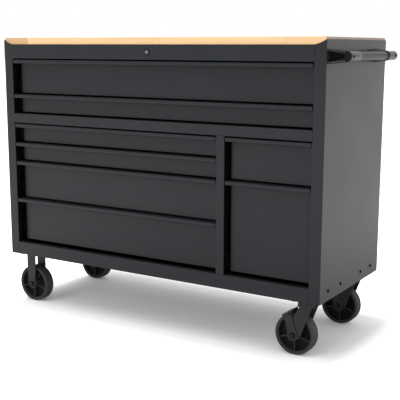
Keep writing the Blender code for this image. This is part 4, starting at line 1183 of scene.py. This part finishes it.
def wheel(node, body, size):
    low, high = corners(node)
    x, y = (low[0] + high[0]) / 2, (low[1] + high[1]) / 2
    z = 0.0625 * math.cos(math.pi / 28)
    turn = math.pi * 1.5

    # Faces of the recessed web, which take the painted shade.
    def on_web(at):
        return abs(at[:, 1] - y) < 0.0035

    piece(node + "_centre", [wheel_centre(x, y, z, size, turn)], FINISH["wheel"], body, [node],
          inner=[(FINISH["web"], on_web)])
    piece(node + "_tread", [tread(x, y, z)], FINISH["tread"], body, [node])
    return x, y, z


def arc(centre, radius, first, last, count=15):
    """Points of an arc, by angle in degrees."""
    angle = np.radians(np.linspace(first, last, count))
    return np.stack([centre[0] + radius * np.cos(angle), centre[1] + radius * np.sin(angle)], axis=1)


def axle_bolt(x, y, z, start, size):
    """A bolt through the fork, with a washer and a nut at each end."""
    shells = [turned([(0.001, y - start - 0.004), (0.005, y - start - 0.004), (0.005, y + start + 0.004),
                      (0.001, y + start + 0.004)], (x, z), "Y", 32)]
    for way in (-1, 1):
        near = y + way * start
        washer = [(0.001, near), (0.0091, near), (0.0095, near + way * 0.0004), (0.0095, near + way * 0.0012),
                  (0.001, near + way * 0.0012)]
        shells.append(turned(washer, (x, z), "Y", 48))
        shells.append(nut((x, z), "Y", near + way * 0.0012, near + way * 0.006, 0.0150))
    return shells


def fork_legs(outline, y, edge=0.0006):
    """The two legs of a fork as pressed plates."""
    return [plate(outline, y + way * 0.0237, y + way * 0.0272, "Y", edge) for way in (-1, 1)]


def crown(x0, x1, y, top, fold=0.0022):
    """The bent web over the wheel that joins the legs, its flanges just inside them."""
    leg, t = 0.02525, 0.0031
    path = round_corners([(y - leg, top - 0.014), (y - leg, top - t / 2), (y + leg, top - t / 2),
                          (y + leg, top - 0.014)], fold)
    return sheet(path, t, x0, x1, "X", 0.0005)


def top_plate(x, y):
    """A mounting plate with round corners and a bolt in each."""
    corner = 0.008
    x0, x1, y0, y1 = x - 0.046, x + 0.046, y - 0.040, y + 0.040
    outline = np.concatenate([
        arc((x1 - corner, y1 - corner), corner, 0, 90, 7), arc((x0 + corner, y1 - corner), corner, 90, 180, 7),
        arc((x0 + corner, y0 + corner), corner, 180, 270, 7), arc((x1 - corner, y0 + corner), corner, 270, 360, 7),
    ])
    bottom = BOTTOM - 0.0003 - 0.004
    bolts = [
        nut((x + a, y + b), "Z", bottom, bottom - 0.0026, 0.011)
        for a in (-0.036, 0.036) for b in (-0.030, 0.030)
    ]
    return [plate(outline, bottom, BOTTOM - 0.0003, "Z", 0.0005)], bolts


def rigid_caster(place, size):
    stem = f"caster_left_{place}"
    x, y, z = wheel(stem + "_wheel", stem + "_wheel", size)
    half, top = 0.0185, BOTTOM - 0.0043
    outline = np.concatenate([
        [(x + half, top - 0.0003), (x - half, top - 0.0003), (x - half, top - 0.055)],
        arc((x, z), 0.015, 195, 345), [(x + half, top - 0.055)],
    ])
    shells, bolts = top_plate(x, y)
    shells += fork_legs(outline, y) + [crown(x - half, x + half, y, top + 0.0001)]
    piece(stem + "_fork_pressed", shells, FINISH["fork"], "cabinet", [stem + "_fork"])
    bolts += axle_bolt(x, y, z, 0.0272, size)
    piece(stem + "_bolts", bolts, FINISH["bolt"], "cabinet", [stem + "_fork"])


def swivel_caster(place, size):
    stem = f"caster_right_{place}"
    low, high = corners(stem + "_plate")
    x, y = (low[0] + high[0]) / 2, (low[1] + high[1]) / 2
    axle, _, z = wheel(stem + "_wheel", stem + "_wheel", size)
    shells, bolts = top_plate(x, y)
    top = BOTTOM - 0.0043 - 0.0016
    piece(stem + "_plate_pressed", shells, FINISH["fork"], "cabinet", [stem + "_plate"])
    bolts.append(nut((x, y), "Z", top - 0.0038, top - 0.0095, 0.019))
    piece(stem + "_plate_bolts", bolts, FINISH["bolt"], "cabinet", [stem + "_plate"])
    outline = np.concatenate([
        [(x + 0.0265, top - 0.0003), (x - 0.0265, top - 0.0003), (x - 0.0165, top - 0.008),
         (axle - 0.004, top - 0.058)],
        arc((axle, z), 0.015, 170, 285), arc((axle + 0.017, z), 0.0065, 290, 340, 6),
        [(x + 0.0190, top - 0.008)],
    ])
    shells = fork_legs(outline, y) + [crown(x - 0.0265, x + 0.0265, y, top)]
    race = [(0.0064, top - 0.003), (0.024, top - 0.003), (0.024, top + 0.0006), (0.0234, top + 0.0012),
            (0.0064, top + 0.0012)]
    shells.append(ring(race, (x, y), "Z", 64))
    fork = stem + "_fork"
    piece(fork + "_pressed", shells, FINISH["fork"], fork, [fork])
    piece(fork + "_bolts", axle_bolt(axle, y, z, 0.0272 + 0.0034, size), FINISH["bolt"], fork, [fork])
    pedal(stem + "_pedal", axle, y, z, size)


def pedal(node, x, y, z, size):
    """Two arms from the axle, each with an eye at its top, joined by a sloping pad."""
    inner, outer = 0.0275, 0.0303
    top, low = np.array([x - 0.0170, z + 0.0672]), np.array([x - 0.0345, z + 0.0585])
    along = unit(top - low)
    under = np.array([along[1], -along[0]]) * 0.0028
    eye = (x - 0.0090, z + 0.0670)
    outline = np.concatenate([
        arc((x, z), 0.0165, 165, 375, 24), [(x + 0.0045, z + 0.033), (x - 0.0030, z + 0.0600)],
        [(x - 0.0100, z + 0.0640), top + under * 1.1, low + under * 1.1, (x - 0.0240, z + 0.040)],
    ])
    shells = []
    for way in (-1, 1):
        near, far = y + way * inner, y + way * outer
        shells.append(plate(outline, near, far, "Y", 0.0005))
        edges = sorted((near, far))
        soft = 0.0005
        profile = [
            (0.003, edges[0] + soft), (0.003 + soft, edges[0]), (0.0065 - soft, edges[0]), (0.0065, edges[0] + soft),
            (0.0065, edges[1] - soft), (0.0065 - soft, edges[1]), (0.003 + soft, edges[1]), (0.003, edges[1] - soft),
        ]
        shells.append(ring(profile, eye, "Y", 40))
    pad = np.array([low, top, top + under, low + under])
    shells.append(plate(pad, y - outer + 0.0002, y + outer - 0.0002, "Y", 0.0005))
    piece(node + "_pressed", shells, FINISH["fork"], node, [node])


class AddCasters(bpy.types.Operator):
    """Makes the rigid and the swivel casters"""

    bl_idname = "cabinet.casters"
    bl_label = "Casters"

    def execute(self, context):
        size = context.scene.cabinet_sizes
        for place in ("front", "rear"):
            rigid_caster(place, size)
            swivel_caster(place, size)
        return {"FINISHED"}


# Stage


def distance(tree, vector, shares):
    """Length of a vector whose width and depth count by their shares."""
    part = add_node(tree, "ShaderNodeVectorMath", {0: vector, 1: (*shares, 1.0)}, operation="MULTIPLY")
    return add_node(tree, "ShaderNodeVectorMath", {0: part.outputs[0]}, operation="LENGTH").outputs["Value"]


def floor_finish(light):
    """A floor that keeps shadows and reads as white to the camera and in reflections away from the cabinet. Its glow
    to the camera rises from the floor fill next to the cabinet to white at the shadow reach, a painted shadow round
    the footprint; in reflections it glows by a stretched distance from the cabinet, a painted reflection.
    """
    made = bpy.data.materials.new("studio_floor")
    made.use_nodes = True
    tree = made.node_tree
    tree.nodes.clear()
    place = add_node(tree, "ShaderNodeTexCoord").outputs["Object"]
    half = (RIGHT, BACK, 0.0)
    beyond = add_node(tree, "ShaderNodeVectorMath", {0: place}, operation="ABSOLUTE").outputs[0]
    beyond = add_node(tree, "ShaderNodeVectorMath", {0: beyond, 1: half}, operation="SUBTRACT").outputs[0]
    beyond = add_node(tree, "ShaderNodeVectorMath", {0: beyond, 1: (0, 0, 0)}, operation="MAXIMUM").outputs[0]
    # near: the camera glow ramp, a painted shadow round the footprint; far: the reflection glow ramp, a painted
    # reflection.
    near, far = (
        add_node(
            tree, "ShaderNodeMapRange",
            {"Value": distance(tree, beyond, shares), "From Min": start, "From Max": stop,
             "To Min": low, "To Max": high},
        ).outputs[0]
        for shares, start, stop, low, high in (
            ((1.0, 1.0), 0.02, light.shadow_reach, light.floor, 1.0),
            ((1.8, 0.45), 0.1, 1.3, 0.0, light.floor_glow),
        )
    )
    path = add_node(tree, "ShaderNodeLightPath")
    shiny = add_node(
        tree, "ShaderNodeMath", {0: path.outputs["Is Glossy Ray"], 1: path.outputs["Is Transmission Ray"]},
        operation="MAXIMUM",
    ).outputs[0]
    painted_reflection_glow = add_node(tree, "ShaderNodeMath", {0: shiny, 1: far}, operation="MULTIPLY").outputs[0]
    camera_glow_with_painted_shadow = add_node(
        tree, "ShaderNodeMath", {0: path.outputs["Is Camera Ray"], 1: near}, operation="MULTIPLY"
    ).outputs[0]
    strength = add_node(tree, "ShaderNodeMath", {0: painted_reflection_glow, 1: camera_glow_with_painted_shadow}, operation="ADD").outputs[0]
    glow = add_node(tree, "ShaderNodeEmission", {"Color": (1, 1, 1, 1), "Strength": strength})
    # The floor is white to the camera, 0.68 to bounced light and 0.5 in reflections, which paints shade and a dimmer
    # reflection on the lower fronts.
    seen_floor = mixed(tree, shiny, mixed(tree, path.outputs["Is Camera Ray"], (0.68, 0.68, 0.68, 1), (1, 1, 1, 1)), (0.50, 0.50, 0.50, 1))
    matt = add_node(tree, "ShaderNodeBsdfDiffuse", {"Color": seen_floor})
    both = add_node(tree, "ShaderNodeAddShader", {0: glow.outputs[0], 1: matt.outputs[0]})
    out = add_node(tree, "ShaderNodeOutputMaterial")
    tree.links.new(both.outputs[0], out.inputs["Surface"])
    return made


def set_world(light):
    """White to the camera, softer in front of the cabinet for reflections, and an even dome."""
    world = bpy.data.worlds.new("studio")
    bpy.context.scene.world = world
    world.use_nodes = True
    tree = world.node_tree
    tree.nodes.clear()
    path = add_node(tree, "ShaderNodeLightPath")
    place = add_node(tree, "ShaderNodeTexCoord").outputs["Generated"]
    depth = add_node(tree, "ShaderNodeSeparateXYZ", {"Vector": place}).outputs[1]
    glow, end = (
        add_node(
            tree, "ShaderNodeMapRange",
            {"Value": depth, "From Min": start, "From Max": stop, "To Min": low, "To Max": high},
        ).outputs[0]
        for start, stop, low, high in ((-0.35, 0.45, light.front_glow, 1.0), (0.88, 0.96, 1.0, 0.92))
    )
    glow = add_node(tree, "ShaderNodeMath", {0: glow, 1: end}, operation="MULTIPLY").outputs[0]
    shiny = add_node(
        tree, "ShaderNodeMath", {0: path.outputs["Is Glossy Ray"], 1: path.outputs["Is Transmission Ray"]},
        operation="MAXIMUM",
    ).outputs[0]
    base = add_node(tree, "ShaderNodeMix", {0: shiny, 2: light.dome, 3: glow}).outputs[0]
    level = add_node(tree, "ShaderNodeMix", {0: path.outputs["Is Camera Ray"], 2: base, 3: 1.0}).outputs[0]
    back = add_node(tree, "ShaderNodeBackground", {"Color": (1, 1, 1, 1), "Strength": level})
    out = add_node(tree, "ShaderNodeOutputWorld")
    tree.links.new(back.outputs[0], out.inputs["Surface"])


def lamp(name, place, aim, width, height, power):
    """A soft rectangular lamp that faces a point."""
    light = bpy.data.lights.new(name, "AREA")
    light.shape = "RECTANGLE"
    light.size, light.size_y = width, height
    light.energy = power
    made = bpy.data.objects.new(name, light)
    bpy.context.scene.collection.objects.link(made)
    made.location = place
    ray = np.array(aim, float) - np.array(place, float)
    yaw, tilt = math.atan2(ray[0], -ray[1]), math.atan2(math.hypot(ray[0], ray[1]), -ray[2])
    made.rotation_euler = (tilt, 0, yaw + math.pi)
    made.visible_glossy = False
    return made


def set_camera():
    """The photograph's view: place, heading and tilt, with the lens for a square frame."""
    yaw, pitch, roll, focal = 0.55582, 0.17996, 0.00223, 842.23
    ahead = np.array([-math.sin(yaw) * math.cos(pitch), math.cos(yaw) * math.cos(pitch), -math.sin(pitch)])
    right = np.array([math.cos(yaw), math.sin(yaw), 0])
    up = np.cross(right, ahead)
    right, up = (
        math.cos(roll) * right + math.sin(roll) * up, math.cos(roll) * up - math.sin(roll) * right
    )
    data = bpy.data.cameras.new("studio_camera")
    data.sensor_width = 36.0
    data.lens = focal * data.sensor_width / 400
    made = bpy.data.objects.new("studio_camera", data)
    bpy.context.scene.collection.objects.link(made)
    matrix = np.eye(4)
    matrix[:3, :3] = np.stack([right, up, -ahead], axis=1)
    matrix[:3, 3] = (LEFT + 2.0755, FRONT - 2.0935, BOTTOM + 0.7101)
    made.matrix_world = Matrix(matrix.tolist())
    bpy.context.scene.camera = made


class AddStage(bpy.types.Operator):
    """Sets the floor, the surroundings, the lamps and the camera"""

    bl_idname = "cabinet.stage"
    bl_label = "Stage"

    def execute(self, context):
        light = context.scene.cabinet_light
        reach = 40.0
        mesh = bpy.data.meshes.new("studio_floor")
        spots = np.array([(-reach, -reach, 0), (reach, -reach, 0), (reach, reach, 0), (-reach, reach, 0)])
        mesh.from_pydata(spots, [], [(0, 1, 2, 3)])
        mesh.materials.append(floor_finish(light))
        floor = bpy.data.objects.new("studio_floor", mesh)
        context.scene.collection.objects.link(floor)
        set_world(light)
        lamp("key_lamp", (-0.6, -0.5, 3.0), (0, 0, 0.4), 3.2, 2.4, light.key)
        lamp("side_lamp", (2.8, 0.6, 1.6), (0.3, 0, 0.5), 1.8, 1.8, light.side)
        lamp("front_lamp", (-0.8, -3.0, 1.5), (0, -0.2, 0.6), 2.4, 1.6, light.front)
        set_camera()
        context.scene.view_settings.view_transform = "Standard"
        return {"FINISHED"}


class CABINET_PT_tools(bpy.types.Panel):
    """Lists the steps that dress the cabinet"""

    bl_idname = "CABINET_PT_tools"
    bl_label = "Tool cabinet"
    bl_space_type = "VIEW_3D"
    bl_region_type = "UI"
    bl_category = "Cabinet"

    def draw(self, context):
        for group in ("cabinet_sizes", "cabinet_colours", "cabinet_light"):
            column = self.layout.column(align=True)
            held = getattr(context.scene, group)
            for name in held.bl_rna.properties.keys()[2:]:
                column.prop(held, name)
        for step in STEPS:
            self.layout.operator(step.bl_idname)


STEPS = (AddStage, AddBodyPanels, AddWorktop, AddDrawers, AddRacks, AddLock, AddHandle, AddCasters)
GROUPS = (CabinetSizes, CabinetColours, CabinetLight)


def register():
    for each in GROUPS + STEPS + (CABINET_PT_tools,):
        bpy.utils.register_class(each)
    bpy.types.Scene.cabinet_sizes = bpy.props.PointerProperty(type=CabinetSizes)
    bpy.types.Scene.cabinet_colours = bpy.props.PointerProperty(type=CabinetColours)
    bpy.types.Scene.cabinet_light = bpy.props.PointerProperty(type=CabinetLight)


def unregister():
    del bpy.types.Scene.cabinet_light
    del bpy.types.Scene.cabinet_colours
    del bpy.types.Scene.cabinet_sizes
    for each in reversed(GROUPS + STEPS + (CABINET_PT_tools,)):
        bpy.utils.unregister_class(each)


def main():
    register()
    FINISH.update(make_finishes())
    bpy.ops.cabinet.stage()
    bpy.ops.cabinet.body_panels()
    bpy.ops.cabinet.worktop()
    bpy.ops.cabinet.drawers()
    bpy.ops.cabinet.racks()
    bpy.ops.cabinet.lock()
    bpy.ops.cabinet.handle()
    bpy.ops.cabinet.casters()


if __name__ == "__main__":
    main()
